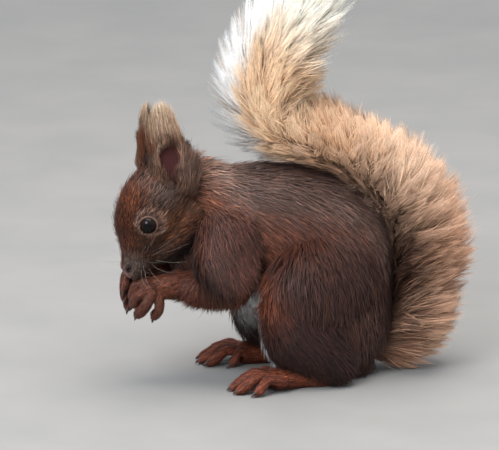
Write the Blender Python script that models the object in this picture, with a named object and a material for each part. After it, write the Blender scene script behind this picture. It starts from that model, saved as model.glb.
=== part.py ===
"""A red squirrel, life size, crouched on its haunches with both hands at its mouth.

The animal faces -X, its left side is towards -Y and +Z is up, in metres. Shapes are given in
millimetres as lofts: stations on an axis, each with a half width across the body and a half
height in the plane of the axis, out to the tips of the coat. The body is fused from its lofts,
then parted into named pieces by thin cuts. The floor is Z = 0.
"""

import math

import bmesh
import bpy
from mathutils import Matrix, Vector

MM = 0.001
GAP = 0.3                       # clearance between neighbouring pieces, mm
RING_SIDES = 24                 # points round each loft
RINGS_PER_SPAN = 4              # rings between two stations
CAP_RINGS = 4                   # rings that round off each end
ACROSS = Vector((0.0, 1.0, 0.0))
FLOOR_MARGIN = 60.0             # depth of the slab that flattens whatever touches the floor, mm

# Place of the whole animal: the origin is under the middle of its footprint.
CENTRE_SHIFT = Vector((5.4, 0.0, 0.0))

# Head: its own frame has +X to the nose, +Y to its left and +Z to its crown.
HEAD_AT = Vector((-59.0, 0.0, 104.5))
HEAD_YAW = math.radians(11.0)   # turned a little to its left
HEAD_PITCH = math.radians(53.0)  # nose down
HEAD_ROLL = math.radians(3.0)   # right ear lower
EYE_AT = Vector((30.3, 11.3, 5.6))
EYE_RADIUS = 4.5
EAR_AT = Vector((7.6, 10.8, 10.5))
EAR_UP = Vector((-0.78, 0.12, 0.62))
EAR_ACROSS = Vector((0.55, -0.42, 0.72))
EAR_LENGTH = 27.0
TUFT_LENGTH = 15.0
# turn about its own length, lean towards the crown's middle, share of the full length,
# and how far forward its root stands
EAR_POSE = {
    "left": (0.0, 0.0, 1.0, -0.8),
    "right": (math.radians(-25.0), math.radians(14.0), 0.86, 5.0),
}
EAR_HALF_WIDTH = 8.3
EAR_THICKNESS = 3.2
CLAW_LENGTH = 3.4
TOE_ARCH = 4.2
CUT_SWELL = 1.2                 # how far a limb's cutter stands outside the limb
HEAD_CUT_AT = Vector((4.0, 0.0, 0.0))
NECK_CUT_AT = Vector((-43.0, 0.0, 92.0))
NECK_CUT_AHEAD = Vector((-0.86, 0.0, -0.50))
ELBOW_CUT_FROM = Vector((-6.0, 0.0, -1.0))
ELBOW_CUT_AHEAD = Vector((-0.77, 0.0, -0.64))
KNEE_CUT_AT = Vector((0.0, 0.0, 34.0))
KNEE_CUT_AHEAD = Vector((0.1, 0.0, -1.0))

# Limb landmarks of the left side. The right side mirrors them, with a small shift of pose.
SHOULDER = Vector((-38.0, -15.0, 80.0))
ELBOW = Vector((-36.5, -22.5, 53.0))
WRIST = Vector((-66.0, -10.5, 52.0))
PALM = Vector((-74.0, -8.5, 50.0))
HIP = Vector((19.0, -17.0, 60.0))
KNEE = Vector((-19.0, -25.5, 48.5))
HEEL = Vector((11.0, -22.0, 8.0))
FOOT_BALL = Vector((-17.0, -26.0, 5.0))
RIGHT_ARM_SHIFT = Vector((-3.0, -2.5, 2.0))
RIGHT_LEG_SHIFT = Vector((-5.0, 0.0, 0.0))

# tip offset from the ball of the foot, half width: the left hind toes, inner to outer
TOES = (
    (Vector((-9.0, 9.5, -2.4)), 2.1),
    (Vector((-19.5, 5.5, -2.6)), 2.5),
    (Vector((-22.0, -0.5, -2.6)), 2.6),
    (Vector((-20.5, -7.5, -2.6)), 2.6),
    (Vector((-13.0, -13.5, -2.4)), 2.3),
)
# offsets from the palm of knuckle, middle joint and tip, half width: left fingers, top to bottom
FINGERS = (
    (Vector((-4.0, -0.5, 3.5)), Vector((-9.5, 0.5, 2.5)), Vector((-12.0, 4.5, -4.0)), 2.5),
    (Vector((-3.5, -2.5, 1.5)), Vector((-9.5, -2.5, -2.0)), Vector((-11.5, 3.5, -8.5)), 2.6),
    (Vector((-3.0, -3.0, -1.0)), Vector((-6.5, -4.5, -7.0)), Vector((-9.5, 2.0, -13.5)), 2.8),
    (Vector((0.5, -2.5, -2.5)), Vector((0.0, -4.0, -9.0)), Vector((-1.5, 0.5, -14.5)), 2.5),
)

# slot: base colour, roughness
LOOKS = {
    "coat_brown": ((0.11, 0.058, 0.042), 0.85),
    "coat_red": ((0.13, 0.045, 0.024), 0.85),
    "tail_hair": ((0.42, 0.25, 0.15), 0.9),
    "ear_hair": ((0.20, 0.11, 0.08), 0.9),
    "paw": ((0.10, 0.035, 0.018), 0.7),
    "eye": ((0.01, 0.008, 0.008), 0.08),
}
SLOT_OF = {
    "head": "coat_brown", "neck": "coat_brown", "trunk": "coat_brown",
    "ear": "ear_hair", "eye": "eye", "hand": "paw", "foot": "paw",
    "arm": "coat_red", "forearm": "coat_red", "thigh": "coat_red", "shank": "coat_red",
}


def stations(*rows):
    """(point, half width, half height) from rows of x, y, z, half width, half height."""
    return [(Vector(row[:3]), row[3], row[4]) for row in rows]


TRUNK = stations(
    (-52, 0, 92, 15, 19),
    (-32, 0, 84, 20, 27),
    (-11, 0, 77, 26, 33),
    (6, 0, 63, 30, 39),
    (12, 0, 40, 30, 34),
    (13, 0, 20, 27, 32),
    (14, 0, 10, 22, 26),
)
NECK = stations(
    (-61, -1, 98, 13, 17),
    (-50, 0, 95, 15, 17),
    (-36, 0, 86, 19, 24),
)
CHEST = stations(
    (-50, 0, 92, 12, 12),
    (-57, 0, 75, 14, 14),
    (-48, 0, 58, 15, 13.5),
)
HEAD = stations(
    (2, 0, 1.6, 11.5, 13.1),
    (10, 0, 3.3, 14.5, 17.7),
    (20, 0, 2.7, 16.0, 19.7),
    (30, 0, 1.6, 14.6, 17.8),
    (38, 0, -1.4, 11.2, 13.7),
    (45, 0, -3.6, 9.1, 9.6),
    (51.5, 0, -4.8, 6.8, 6.4),
)
CHEEK = stations(
    (16, 8.5, -11.0, 8.0, 10.5),
    (27, 7.5, -11.0, 7.2, 9.4),
    (39, 4.5, -9.0, 5.2, 5.8),
)
BROW = stations(
    (26, 9.0, 8.5, 4.8, 5.0),
    (35, 8.2, 7.5, 4.4, 4.4),
)

TAIL = stations(
    (38, 0, 10, 10, 8),
    (50, 0, 11, 19, 12),
    (59, 0, 22, 24, 17),
    (62.5, 0, 40, 27, 20),
    (63.5, 0, 60, 29, 22),
    (60.5, 0, 80, 30, 22.5),
    (49.5, 0, 98, 29, 21),
    (33.5, 0, 111, 28, 18),
    (16, 0, 120, 28, 17.5),
    (-4, 0, 127, 29, 19),
    (-21, 0, 137, 30, 25),
    (-16, 0, 161, 31, 26),
    (-1, 0, 182, 28, 24),
    (7, 0, 199, 23, 21),
    (12.5, 0, 208, 17.5, 15.5),
)
# name of the length that starts at a cut, a point on the cut and the way the tail runs there
TAIL_CUTS = (
    ("tail_lower", (63, 0, 50), (0.1, 0, 1)),
    ("tail_upper", (46, 0, 110), (-0.75, 0, 0.6)),
    ("tail_tip", (-20, 0, 143), (0.1, 0, 1)),
)


def curve_point(points, t):
    """The Catmull-Rom spline through points at t, counted in spans."""
    last = len(points) - 1
    span = min(int(t), last - 1)
    u = t - span
    before = points[max(span - 1, 0)]
    start, end = points[span], points[span + 1]
    after = points[min(span + 2, last)]
    return 0.5 * (
        2 * start
        + (end - before) * u
        + (2 * before - 5 * start + 4 * end - after) * u * u
        + (3 * start - before - 3 * end + after) * u * u * u
    )


def ring(centre, tangent, half_width, half_height, across):
    """Points of an ellipse square to the tangent."""
    side = (across - tangent * across.dot(tangent)).normalized()
    rise = tangent.cross(side)
    turns = (2 * math.pi * i / RING_SIDES for i in range(RING_SIDES))
    return [
        centre + side * (half_width * math.cos(a)) + rise * (half_height * math.sin(a))
        for a in turns
    ]


def loft_rings(rows, across):
    """Rings along the stations, with elliptical ends."""
    axis = [row[0] for row in rows]
    widths = [Vector((row[1], row[2], 0.0)) for row in rows]
    spans = len(rows) - 1
    samples = [i / RINGS_PER_SPAN for i in range(spans * RINGS_PER_SPAN + 1)]
    centres = [curve_point(axis, t) for t in samples]
    sizes = [curve_point(widths, t) for t in samples]
    tangents = [
        (centres[min(i + 1, len(centres) - 1)] - centres[max(i - 1, 0)]).normalized()
        for i in range(len(centres))
    ]
    rings = []

    def cap(index, outward):
        reach = min(sizes[index][0], sizes[index][1])
        for step in range(1, CAP_RINGS + 1):
            angle = step / CAP_RINGS * math.pi / 2
            shrink = max(math.cos(angle), 0.05)
            yield ring(
                centres[index] + tangents[index] * (outward * reach * math.sin(angle)),
                tangents[index],
                sizes[index][0] * shrink,
                sizes[index][1] * shrink,
                across,
            )

    rings += reversed(list(cap(0, -1)))
    for centre, tangent, size in zip(centres, tangents, sizes):
        rings.append(ring(centre, tangent, size[0], size[1], across))
    rings += cap(len(centres) - 1, 1)
    return rings


def loft(rows, across=ACROSS):
    """(points, faces) of a closed loft, in millimetres."""
    rings = loft_rings(rows, across)
    points = [p for one in rings for p in one]
    faces = []
    for r in range(len(rings) - 1):
        for i in range(RING_SIDES):
            j = (i + 1) % RING_SIDES
            low, high = r * RING_SIDES, (r + 1) * RING_SIDES
            faces.append((low + i, low + j, high + j, high + i))
    faces.append(tuple(reversed(range(RING_SIDES))))
    faces.append(tuple(range(len(points) - RING_SIDES, len(points))))
    return points, faces


def moved(form, matrix):
    """A loft under a matrix. A mirror turns its faces round again."""
    points, faces = form
    turned = [tuple(reversed(f)) for f in faces] if matrix.determinant() < 0 else faces
    return [matrix @ p for p in points], turned


MIRROR = Matrix.Diagonal((1.0, -1.0, 1.0, 1.0))


def head_matrix():
    """From the head's frame to the animal's."""
    faces_front = Matrix.Rotation(math.pi, 4, "Z")
    turned = Matrix.Rotation(HEAD_YAW, 4, "Z") @ Matrix.Rotation(-HEAD_PITCH, 4, "Y")
    return Matrix.Translation(HEAD_AT) @ turned @ faces_front @ Matrix.Rotation(HEAD_ROLL, 4, "X")


def right_side(form, shift):
    return moved(form, Matrix.Translation(shift) @ MIRROR)


def mesh_object(name, forms):
    """One mesh object of several closed forms, placed in metres."""
    points, faces = [], []
    for form_points, form_faces in forms:
        start = len(points)
        points += [(p + CENTRE_SHIFT) * MM for p in form_points]
        faces += [tuple(start + i for i in f) for f in form_faces]
    mesh = bpy.data.meshes.new(name)
    mesh.from_pydata(points, [], faces)
    mesh.update()
    made = bpy.data.objects.new(name, mesh)
    bpy.context.scene.collection.objects.link(made)
    return made


def settled(made):
    """Applies an object's modifiers to its mesh."""
    bpy.context.view_layer.update()
    graph = bpy.context.evaluated_depsgraph_get()
    mesh = bpy.data.meshes.new_from_object(made.evaluated_get(graph), depsgraph=graph)
    made.modifiers.clear()
    made.data = mesh
    return made


def fused(name, forms, voxel, smoothing):
    """The forms grown into one closed skin, with rounded creases."""
    made = mesh_object(name, forms)
    remesh = made.modifiers.new("Fuse", "REMESH")
    remesh.mode = "VOXEL"
    remesh.voxel_size = voxel * MM
    smooth = made.modifiers.new("Round creases", "SMOOTH")
    smooth.factor = 0.5
    smooth.iterations = smoothing
    return settled(made)


def as_form(made):
    """(points, faces) of an object's mesh, in millimetres, for another fusing."""
    points = [v.co / MM - CENTRE_SHIFT for v in made.data.vertices]
    return points, [tuple(p.vertices) for p in made.data.polygons]


def thinned(made, triangles):
    """Brings a mesh down to about this many triangles."""
    count = sum(len(p.vertices) - 2 for p in made.data.polygons)
    modifier = made.modifiers.new("Fewer faces", "DECIMATE")
    modifier.ratio = min(1.0, triangles / count)
    return settled(made)


def combined(made, cutter, operation):
    modifier = made.modifiers.new(operation.title(), "BOOLEAN")
    modifier.operation = operation
    modifier.object = cutter
    return settled(made)


def copy_of(made, name):
    twin = bpy.data.objects.new(name, made.data.copy())
    bpy.context.scene.collection.objects.link(twin)
    return twin


def grown(made, name, distance):
    """A copy pushed out along its normals, as a cutter."""
    twin = copy_of(made, name)
    push = twin.modifiers.new("Clearance", "DISPLACE")
    push.mid_level = 0.0
    push.strength = distance * MM
    return settled(twin)


def removed(*objects):
    for made in objects:
        bpy.data.objects.remove(made)


def slab(name, at, normal, reach=400.0):
    """A large box whose flat face passes through a point and which fills the side ahead of it."""
    turn = Vector(normal).normalized().to_track_quat("Z", "Y").to_matrix().to_4x4()
    corners = [
        Vector((x, y, z))
        for z in (0.0, reach)
        for x, y in ((-reach, -reach), (reach, -reach), (reach, reach), (-reach, reach))
    ]
    faces = [(3, 2, 1, 0), (4, 5, 6, 7), (0, 1, 5, 4), (1, 2, 6, 5), (2, 3, 7, 6), (3, 0, 4, 7)]
    return mesh_object(name, [moved((corners, faces), Matrix.Translation(at) @ turn)])


def split(made, name, at, normal):
    """Cuts off what lies ahead of a plane as a new object, leaving the gap on its own side."""
    normal = Vector(normal).normalized()
    ahead = slab("ahead", Vector(at) + normal * GAP, normal)
    behind = slab("behind", Vector(at), normal)
    piece = combined(copy_of(made, name), ahead, "INTERSECT")
    combined(made, behind, "DIFFERENCE")
    removed(ahead, behind)
    return piece


def flattened(made):
    """Cuts the underside flat at the floor."""
    below = slab("below", Vector((0.0, 0.0, 0.0)), (0.0, 0.0, -1.0), FLOOR_MARGIN)
    combined(made, below, "DIFFERENCE")
    removed(below)
    return made


def between(a, b, share):
    return a.lerp(b, share)


def upper_arm(swell=0.0):
    return loft([
        (SHOULDER + Vector((0, 2, 4)), 10.0 + swell, 17.0 + swell),
        (between(SHOULDER, ELBOW, 0.55) + Vector((-4, 0, 0)), 9.5 + swell, 18.0 + swell),
        (ELBOW + Vector((-2.5, 0, 2)), 8.0 + swell, 14.5 + swell),
    ])


def forearm(swell=0.0):
    return loft([
        (ELBOW + Vector((0, 0, 1)), 8.0 + swell, 10.5 + swell),
        (between(ELBOW, WRIST, 0.5), 7.0 + swell, 9.0 + swell),
        (WRIST + Vector((4, 0, 0)), 4.6 + swell, 6.0 + swell),
    ])


def thigh(swell=0.0):
    return loft([
        (HIP, 15.0 + swell, 24.0 + swell),
        (between(HIP, KNEE, 0.5) + Vector((0, -3, 0)), 15.0 + swell, 24.0 + swell),
        (KNEE + Vector((4, 0, 0)), 9.5 + swell, 14.0 + swell),
    ])


def shank(swell=0.0):
    return loft([
        (KNEE + Vector((4, 0, -4)), 9.0 + swell, 13.0 + swell),
        (between(KNEE, HEEL, 0.5) + Vector((-1, -1, -2)), 12.0 + swell, 20.0 + swell),
        (HEEL + Vector((0, -3, 4)), 12.0 + swell, 12.5 + swell),
    ])


def digit(start, middle, tip, half_width):
    """A toe or finger, bent at its middle joint, and the claw at its tip."""
    ahead = (tip - middle).normalized()
    hook = tip + ahead * CLAW_LENGTH - Vector((0, 0, 0.25 * CLAW_LENGTH))
    return [
        loft([
            (start, half_width * 1.15, half_width * 1.1),
            (middle, half_width * 0.95, half_width),
            (between(middle, tip, 0.7), half_width, half_width * 1.05),
            (tip, half_width * 0.7, half_width * 0.8),
        ]),
        loft([
            (tip - ahead * 0.8, half_width * 0.5, half_width * 0.6),
            (between(tip, hook, 0.6) + Vector((0, 0, 0.4)), half_width * 0.35, half_width * 0.45),
            (hook, half_width * 0.16, half_width * 0.2),
        ]),
    ]


def foot():
    forms = [loft([
        (HEEL + Vector((4, 0, -3.0)), 5.0, 5.0),
        (between(HEEL, FOOT_BALL, 0.5) + Vector((0, 0, -1.0)), 6.0, 6.0),
        (FOOT_BALL, 8.5, 5.4),
    ])]
    for offset, half_width in TOES:
        start = FOOT_BALL + Vector((2.0, offset.y * 0.55, -0.5))
        tip = FOOT_BALL + offset
        forms += digit(start, between(start, tip, 0.55) + Vector((0, 0, TOE_ARCH)), tip, half_width)
    return forms


def hand():
    forms = [loft([
        (WRIST + Vector((3.0, 0, 0)), 5.4, 6.8),
        (PALM, 4.8, 6.4),
        (PALM + Vector((-3.0, 0.5, -1.0)), 4.0, 5.4),
    ])]
    for start, middle, tip, half_width in FINGERS:
        forms += digit(PALM + start, PALM + middle, PALM + tip, half_width)
    return forms


def ear(turn, lean, share, ahead):
    """A cupped leaf and the bowl it holds, in the head's frame."""
    up = Matrix.Rotation(lean, 3, "X") @ EAR_UP.normalized()
    across = Matrix.Rotation(turn, 3, up) @ EAR_ACROSS
    out = across.cross(up).normalized()
    if out.y < 0:
        out = -out
    tall = (EAR_LENGTH + TUFT_LENGTH) * share
    forward = across.normalized()
    root = EAR_AT + forward * ahead
    leaf = loft([
        (root - up * 5.5 - out * 3.2 - forward, EAR_HALF_WIDTH * 1.1, EAR_THICKNESS * 1.7),
        (root + up * (0.20 * tall), EAR_HALF_WIDTH * 1.12, EAR_THICKNESS * 1.35),
        (root + up * (0.48 * tall) + forward * 0.6, EAR_HALF_WIDTH, EAR_THICKNESS),
        (root + up * (0.76 * tall) + forward * 2.0 + out * 0.6, EAR_HALF_WIDTH * 0.86,
         EAR_THICKNESS * 0.9),
        (root + up * (0.96 * tall) + forward * 3.0 + out, EAR_HALF_WIDTH * 0.66,
         EAR_THICKNESS * 0.6),
    ], across)
    bowl = loft([
        (root + up * 3.0 + out * EAR_THICKNESS * 1.4, 3.0, 2.2),
        (root + up * 12.5 + out * EAR_THICKNESS * 1.3, 5.6, 3.0),
        (root + up * 19.5 + out * EAR_THICKNESS * 1.1, 4.2, 2.2),
    ], across)
    return leaf, bowl


def ball(at, radius):
    """A closed sphere from a loft's rings."""
    reach = Vector((radius * 0.05, 0.0, 0.0))
    return loft([(at - reach, radius, radius), (at, radius, radius), (at + reach, radius, radius)])


def carved(made, name, inner):
    """Cuts out what lies inside a closed cutter as a new object, with a gap all round it."""
    outer = grown(inner, "outer", GAP)
    piece = combined(copy_of(made, name), inner, "INTERSECT")
    combined(made, outer, "DIFFERENCE")
    removed(inner, outer)
    return piece


def seated(made, piece):
    """Makes room in an object for another, with the gap all round."""
    outer = grown(piece, "outer", GAP)
    combined(made, outer, "DIFFERENCE")
    removed(outer)


def box_cutter(name, at, forward, reach, low, high, half_width):
    """A block that starts at a point and runs forward, with a height range about its axis."""
    forward = Vector(forward).normalized()
    side = ACROSS
    rise = side.cross(forward).normalized()
    if rise.z < 0:
        rise = -rise
    corners = [
        Vector(at) + forward * x + side * y + rise * z
        for x in (0.0, reach)
        for y, z in ((-half_width, low), (half_width, low), (half_width, high), (-half_width, high))
    ]
    faces = [(0, 1, 2, 3), (7, 6, 5, 4), (1, 0, 4, 5), (2, 1, 5, 6), (3, 2, 6, 7), (0, 3, 7, 4)]
    made = mesh_object(name, [(corners, faces)])
    return turned_out(made)


def turned_out(made):
    """Points every face of a closed mesh outward."""
    work = bmesh.new()
    work.from_mesh(made.data)
    bmesh.ops.recalc_face_normals(work, faces=work.faces)
    work.to_mesh(made.data)
    work.free()
    return made


def slot_of(name):
    return "tail_hair" if name.startswith("tail") else SLOT_OF[name.split("_")[-1]]


def coloured(made, slot):
    """Gives an object the material of its slot."""
    material = bpy.data.materials.get(slot)
    if material is None:
        colour, roughness = LOOKS[slot]
        material = bpy.data.materials.new(slot)
        material.use_nodes = True
        shader = material.node_tree.nodes["Principled BSDF"]
        shader.inputs["Base Color"].default_value = (*colour, 1.0)
        shader.inputs["Roughness"].default_value = roughness
        shader.inputs["Metallic"].default_value = 0.0
        material.diffuse_color = (*colour, 1.0)
    made.data.materials.clear()
    made.data.materials.append(material)


def whole(made):
    """Drops the loose slivers that cuts leave beside an object's largest body."""
    work = bmesh.new()
    work.from_mesh(made.data)
    bodies, seen = [], set()
    for first in work.verts:
        if first in seen:
            continue
        seen.add(first)
        body = [first]
        for vert in body:
            for edge in vert.link_edges:
                other = edge.other_vert(vert)
                if other not in seen:
                    seen.add(other)
                    body.append(other)
        bodies.append(body)
    bodies.sort(key=len)
    for body in bodies[:-1]:
        bmesh.ops.delete(work, geom=body, context="VERTS")
    work.to_mesh(made.data)
    work.free()


def hung(made, parent):
    """Puts an object's origin at the middle of its mesh and parents it."""
    corners = [Vector(corner) for corner in made.bound_box]
    middle = sum(corners, Vector()) / len(corners)
    made.data.transform(Matrix.Translation(-middle))
    made.location = middle
    made.parent = parent


def main():
    for old in list(bpy.data.objects):
        bpy.data.objects.remove(old)
    head_to_body = head_matrix()
    left_arm = [upper_arm(), forearm()]
    left_leg = [thigh(), shank()]
    torso = fused(
        "torso",
        [loft(TRUNK), loft(NECK), loft(CHEST)]
        + left_arm + [right_side(f, RIGHT_ARM_SHIFT) for f in left_arm]
        + left_leg + [right_side(f, RIGHT_LEG_SHIFT) for f in left_leg],
        voxel=1.6, smoothing=10,
    )
    head_forms = [loft(HEAD)]
    for form in (loft(CHEEK), loft(BROW)):
        head_forms += [form, moved(form, MIRROR)]
    head = fused("head_form", [moved(f, head_to_body) for f in head_forms], 1.0, 6)
    body = thinned(fused("trunk", [as_form(torso), as_form(head)], 1.2, 5), 1850)
    removed(torso, head)
    flattened(body)

    # Tail: the hair's envelope, kept clear of the body it lies against.
    tail = thinned(fused("tail_base", [loft(TAIL)], 2.0, 2), 600)
    flattened(tail)
    seated(tail, body)
    pieces = {"tail_base": tail}
    for name, at, normal in TAIL_CUTS:
        pieces[name] = split(tail, name, at, normal)
        tail = pieces[name]

    # Hands and feet are whole and rest in sockets in the limbs.
    for side, shift in (("left", None), ("right", RIGHT_ARM_SHIFT)):
        forms = hand() if shift is None else [right_side(f, shift) for f in hand()]
        pieces[side + "_hand"] = thinned(fused(side + "_hand", forms, 0.55, 2), 300)
    seated(pieces["right_hand"], pieces["left_hand"])
    for side, shift in (("left", None), ("right", RIGHT_LEG_SHIFT)):
        forms = foot() if shift is None else [right_side(f, shift) for f in foot()]
        pieces[side + "_foot"] = flattened(thinned(fused(side + "_foot", forms, 0.55, 2), 300))
    for name in ("left_hand", "right_hand", "left_foot", "right_foot"):
        seated(body, pieces[name])

    # Head: eyes in sockets, ears set on the crown.
    for side, mirror in (("left", Matrix.Identity(4)), ("right", MIRROR)):
        to_body = head_to_body @ mirror
        eye = thinned(mesh_object(side + "_eye", [moved(ball(EYE_AT, EYE_RADIUS), to_body)]), 120)
        pieces[side + "_eye"] = eye
        leaf, bowl = (moved(f, to_body) for f in ear(*EAR_POSE[side]))
        made = thinned(mesh_object(side + "_ear", [leaf]), 150)
        hollow = thinned(mesh_object("hollow", [bowl]), 60)
        combined(made, hollow, "DIFFERENCE")
        removed(hollow)
        pieces[side + "_ear"] = made
        seated(body, eye)
        seated(made, body)
    turn = head_to_body.to_3x3()
    forward = turn @ Vector((1.0, 0.0, 0.0))
    head_cut = box_cutter(
        "head_cut", head_to_body @ HEAD_CUT_AT, forward, 80.0, -17.0, 40.0, 40.0
    )
    pieces["head"] = carved(body, "head", head_cut)

    for side, shift in (("left", None), ("right", RIGHT_ARM_SHIFT)):
        forms = [upper_arm(CUT_SWELL), forearm(CUT_SWELL)]
        if shift is not None:
            forms = [right_side(f, shift) for f in forms]
        cutter = thinned(fused("arm_cut", forms, 1.5, 2), 130)
        arm = carved(body, side + "_upper_arm", cutter)
        at = ELBOW.copy() if shift is None else MIRROR @ ELBOW + shift
        pieces[side + "_upper_arm"] = arm
        pieces[side + "_forearm"] = split(arm, side + "_forearm", at + ELBOW_CUT_FROM, ELBOW_CUT_AHEAD)
    for side, shift in (("left", None), ("right", RIGHT_LEG_SHIFT)):
        forms = [thigh(CUT_SWELL), shank(CUT_SWELL)]
        if shift is not None:
            forms = [right_side(f, shift) for f in forms]
        cutter = thinned(fused("leg_cut", forms, 1.5, 2), 170)
        leg = carved(body, side + "_thigh", cutter)
        pieces[side + "_thigh"] = leg
        pieces[side + "_shank"] = split(leg, side + "_shank", KNEE_CUT_AT, KNEE_CUT_AHEAD)
    neck_cut = box_cutter("neck_cut", NECK_CUT_AT, NECK_CUT_AHEAD, 60.0, -31.0, 50.0, 45.0)
    pieces["neck"] = carved(body, "neck", neck_cut)
    pieces["trunk"] = body

    squirrel = bpy.data.objects.new("squirrel", None)
    bpy.context.scene.collection.objects.link(squirrel)
    for name, made in pieces.items():
        made.name = name
        whole(made)
        coloured(made, slot_of(name))
        hung(made, squirrel)


main()
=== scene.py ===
"""Looks of the red squirrel: one skin, its coat of solid tufts, eyes, claws and whiskers.

Lengths in the tables are millimetres in the animal's own frame: head towards -X, left side towards
-Y, floor at Z = 0. The coat's markings, with painted shade and a painted sheen on top, are one
formula, read by the skin and by every tuft.
"""

import math

import bmesh
import bpy
import numpy as np
from mathutils import Matrix, Vector
from mathutils.kdtree import KDTree


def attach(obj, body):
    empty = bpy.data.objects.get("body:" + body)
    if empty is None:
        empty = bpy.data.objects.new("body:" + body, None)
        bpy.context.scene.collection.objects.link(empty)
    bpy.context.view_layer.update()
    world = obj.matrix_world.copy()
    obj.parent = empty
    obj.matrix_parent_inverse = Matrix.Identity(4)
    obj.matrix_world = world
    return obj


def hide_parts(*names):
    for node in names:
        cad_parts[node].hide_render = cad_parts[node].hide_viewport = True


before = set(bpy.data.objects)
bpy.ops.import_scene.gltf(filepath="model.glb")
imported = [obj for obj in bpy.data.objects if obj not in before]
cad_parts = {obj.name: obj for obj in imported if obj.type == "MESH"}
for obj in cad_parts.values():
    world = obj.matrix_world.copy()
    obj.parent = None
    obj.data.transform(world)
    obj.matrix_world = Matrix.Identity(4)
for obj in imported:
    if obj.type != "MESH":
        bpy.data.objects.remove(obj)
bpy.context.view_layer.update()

MM = 0.001
FAR = 1e9
SHIFT = np.array([5.4, 0.0, 0.0])
chance = np.random.default_rng(11)

# ---------------------------------------------------------------- forms

SIDES = 32
SPAN_RINGS = 6
CAP_RINGS = 5
CAP_TIP = 0.04
THINNEST = 0.3


def unit(v):
    v = np.asarray(v, float)
    return v / np.maximum(np.linalg.norm(v, axis=-1, keepdims=True), 1e-9)


def blob(*spreads):
    """1 at a centre, falling off around it by each (value, centre, width)."""
    return np.exp(-sum(((value - centre) / width) ** 2 for value, centre, width in spreads))


def away(points, centre, stretch=1.0):
    """Distances of points from a centre, with each axis divided by its stretch."""
    return np.linalg.norm((points - centre) / stretch, axis=1)


def soft(distance, spread):
    """1 at no distance, falling off as it grows."""
    return np.exp(-(distance**2) / spread)


def read(items, name, width, kind=np.float32):
    """One property of many items, a row for each."""
    values = np.empty(len(items) * width, kind)
    items.foreach_get(name, values)
    return values.reshape(-1, width)


def placed(name, data):
    """A new object of a mesh, light or camera, in the scene."""
    made = bpy.data.objects.new(name, data)
    bpy.context.scene.collection.objects.link(made)
    return made


def smoothed(mesh):
    """Shades every face of a mesh smooth."""
    mesh.polygons.foreach_set("use_smooth", np.ones(len(mesh.polygons), bool))


def spline(points, t):
    """Catmull-Rom through rows of points, at t counted in spans."""
    points = np.asarray(points, float)
    last = len(points) - 1
    i = np.clip(t.astype(int), 0, last - 1)
    u = (t - i)[:, None]
    p0, p1, p2, p3 = (points[np.clip(i + k, 0, last)] for k in (-1, 0, 1, 2))
    return 0.5 * (
        2 * p1 + (p2 - p0) * u + (2 * p0 - 5 * p1 + 4 * p2 - p3) * u**2
        + (3 * p1 - p0 - 3 * p2 + p3) * u**3
    )


def closed(rings):
    """(points, faces) of a closed tube through rings of points."""
    sides = len(rings[0])
    points = np.concatenate(rings)
    first = np.arange(0, len(points) - sides, sides)[:, None]
    base = (first + np.arange(sides)).ravel()
    following = (first + (np.arange(sides) + 1) % sides).ravel()
    quads = np.stack([base, following, following + sides, base + sides], 1)
    caps = [list(range(sides))[::-1], list(range(len(points) - sides, len(points)))]
    return points, quads.tolist() + caps


class Form:
    """A loft: its axis, the half width and half height at each station, and its coat."""

    def __init__(self, rows, region, coat=(0.0, 0.0), across=(0, 1, 0)):
        rows = np.asarray(rows, float)
        self.region = region
        t = np.linspace(0, len(rows) - 1, (len(rows) - 1) * SPAN_RINGS + 1)
        self.at = spline(rows[:, :3], t)
        self.size = spline(rows[:, 3:5], t)
        depth = coat[0] + (coat[1] - coat[0]) * (t / (len(rows) - 1))
        self.size = np.maximum(self.size - depth[:, None], THINNEST)
        step = np.empty_like(self.at)
        step[1:-1] = self.at[2:] - self.at[:-2]
        step[0], step[-1] = self.at[1] - self.at[0], self.at[-1] - self.at[-2]
        self.way = unit(step)
        across = np.asarray(across, float)
        self.side = unit(across - self.way * (self.way @ across)[:, None])
        self.rise = np.cross(self.way, self.side)

    def turned(self, matrix):
        """The form under a 4x4 matrix of turn, mirror and shift."""
        m = np.array(matrix, float)
        new = object.__new__(Form)
        new.__dict__.update(self.__dict__)
        new.at = self.at @ m[:3, :3].T + m[:3, 3]
        for name in ("way", "side", "rise"):
            setattr(new, name, getattr(self, name) @ m[:3, :3].T)
        return new

    def mesh(self):
        """(points, faces) of the closed loft."""
        turn = np.linspace(0, 2 * np.pi, SIDES, endpoint=False)
        rings = []

        def ring(i, shrink, push):
            w, h = self.size[i] * shrink
            centre = self.at[i] + self.way[i] * push
            return (
                centre + np.cos(turn)[:, None] * self.side[i] * w
                + np.sin(turn)[:, None] * self.rise[i] * h
            )

        angles = [k / CAP_RINGS * math.pi / 2 for k in range(1, CAP_RINGS + 1)]
        ends = (0, len(self.at) - 1)
        reach = [min(self.size[i]) for i in ends]
        for a in reversed(angles):
            rings.append(ring(ends[0], max(math.cos(a), CAP_TIP), -reach[0] * math.sin(a)))
        for i in range(len(self.at)):
            rings.append(ring(i, 1.0, 0.0))
        for a in angles:
            rings.append(ring(ends[1], max(math.cos(a), CAP_TIP), reach[1] * math.sin(a)))
        points, faces = closed(rings)
        if np.linalg.det(np.stack([self.side[0], self.rise[0], -self.way[0]])) > 0:
            faces = [f[::-1] for f in faces]
        return points, faces


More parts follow.
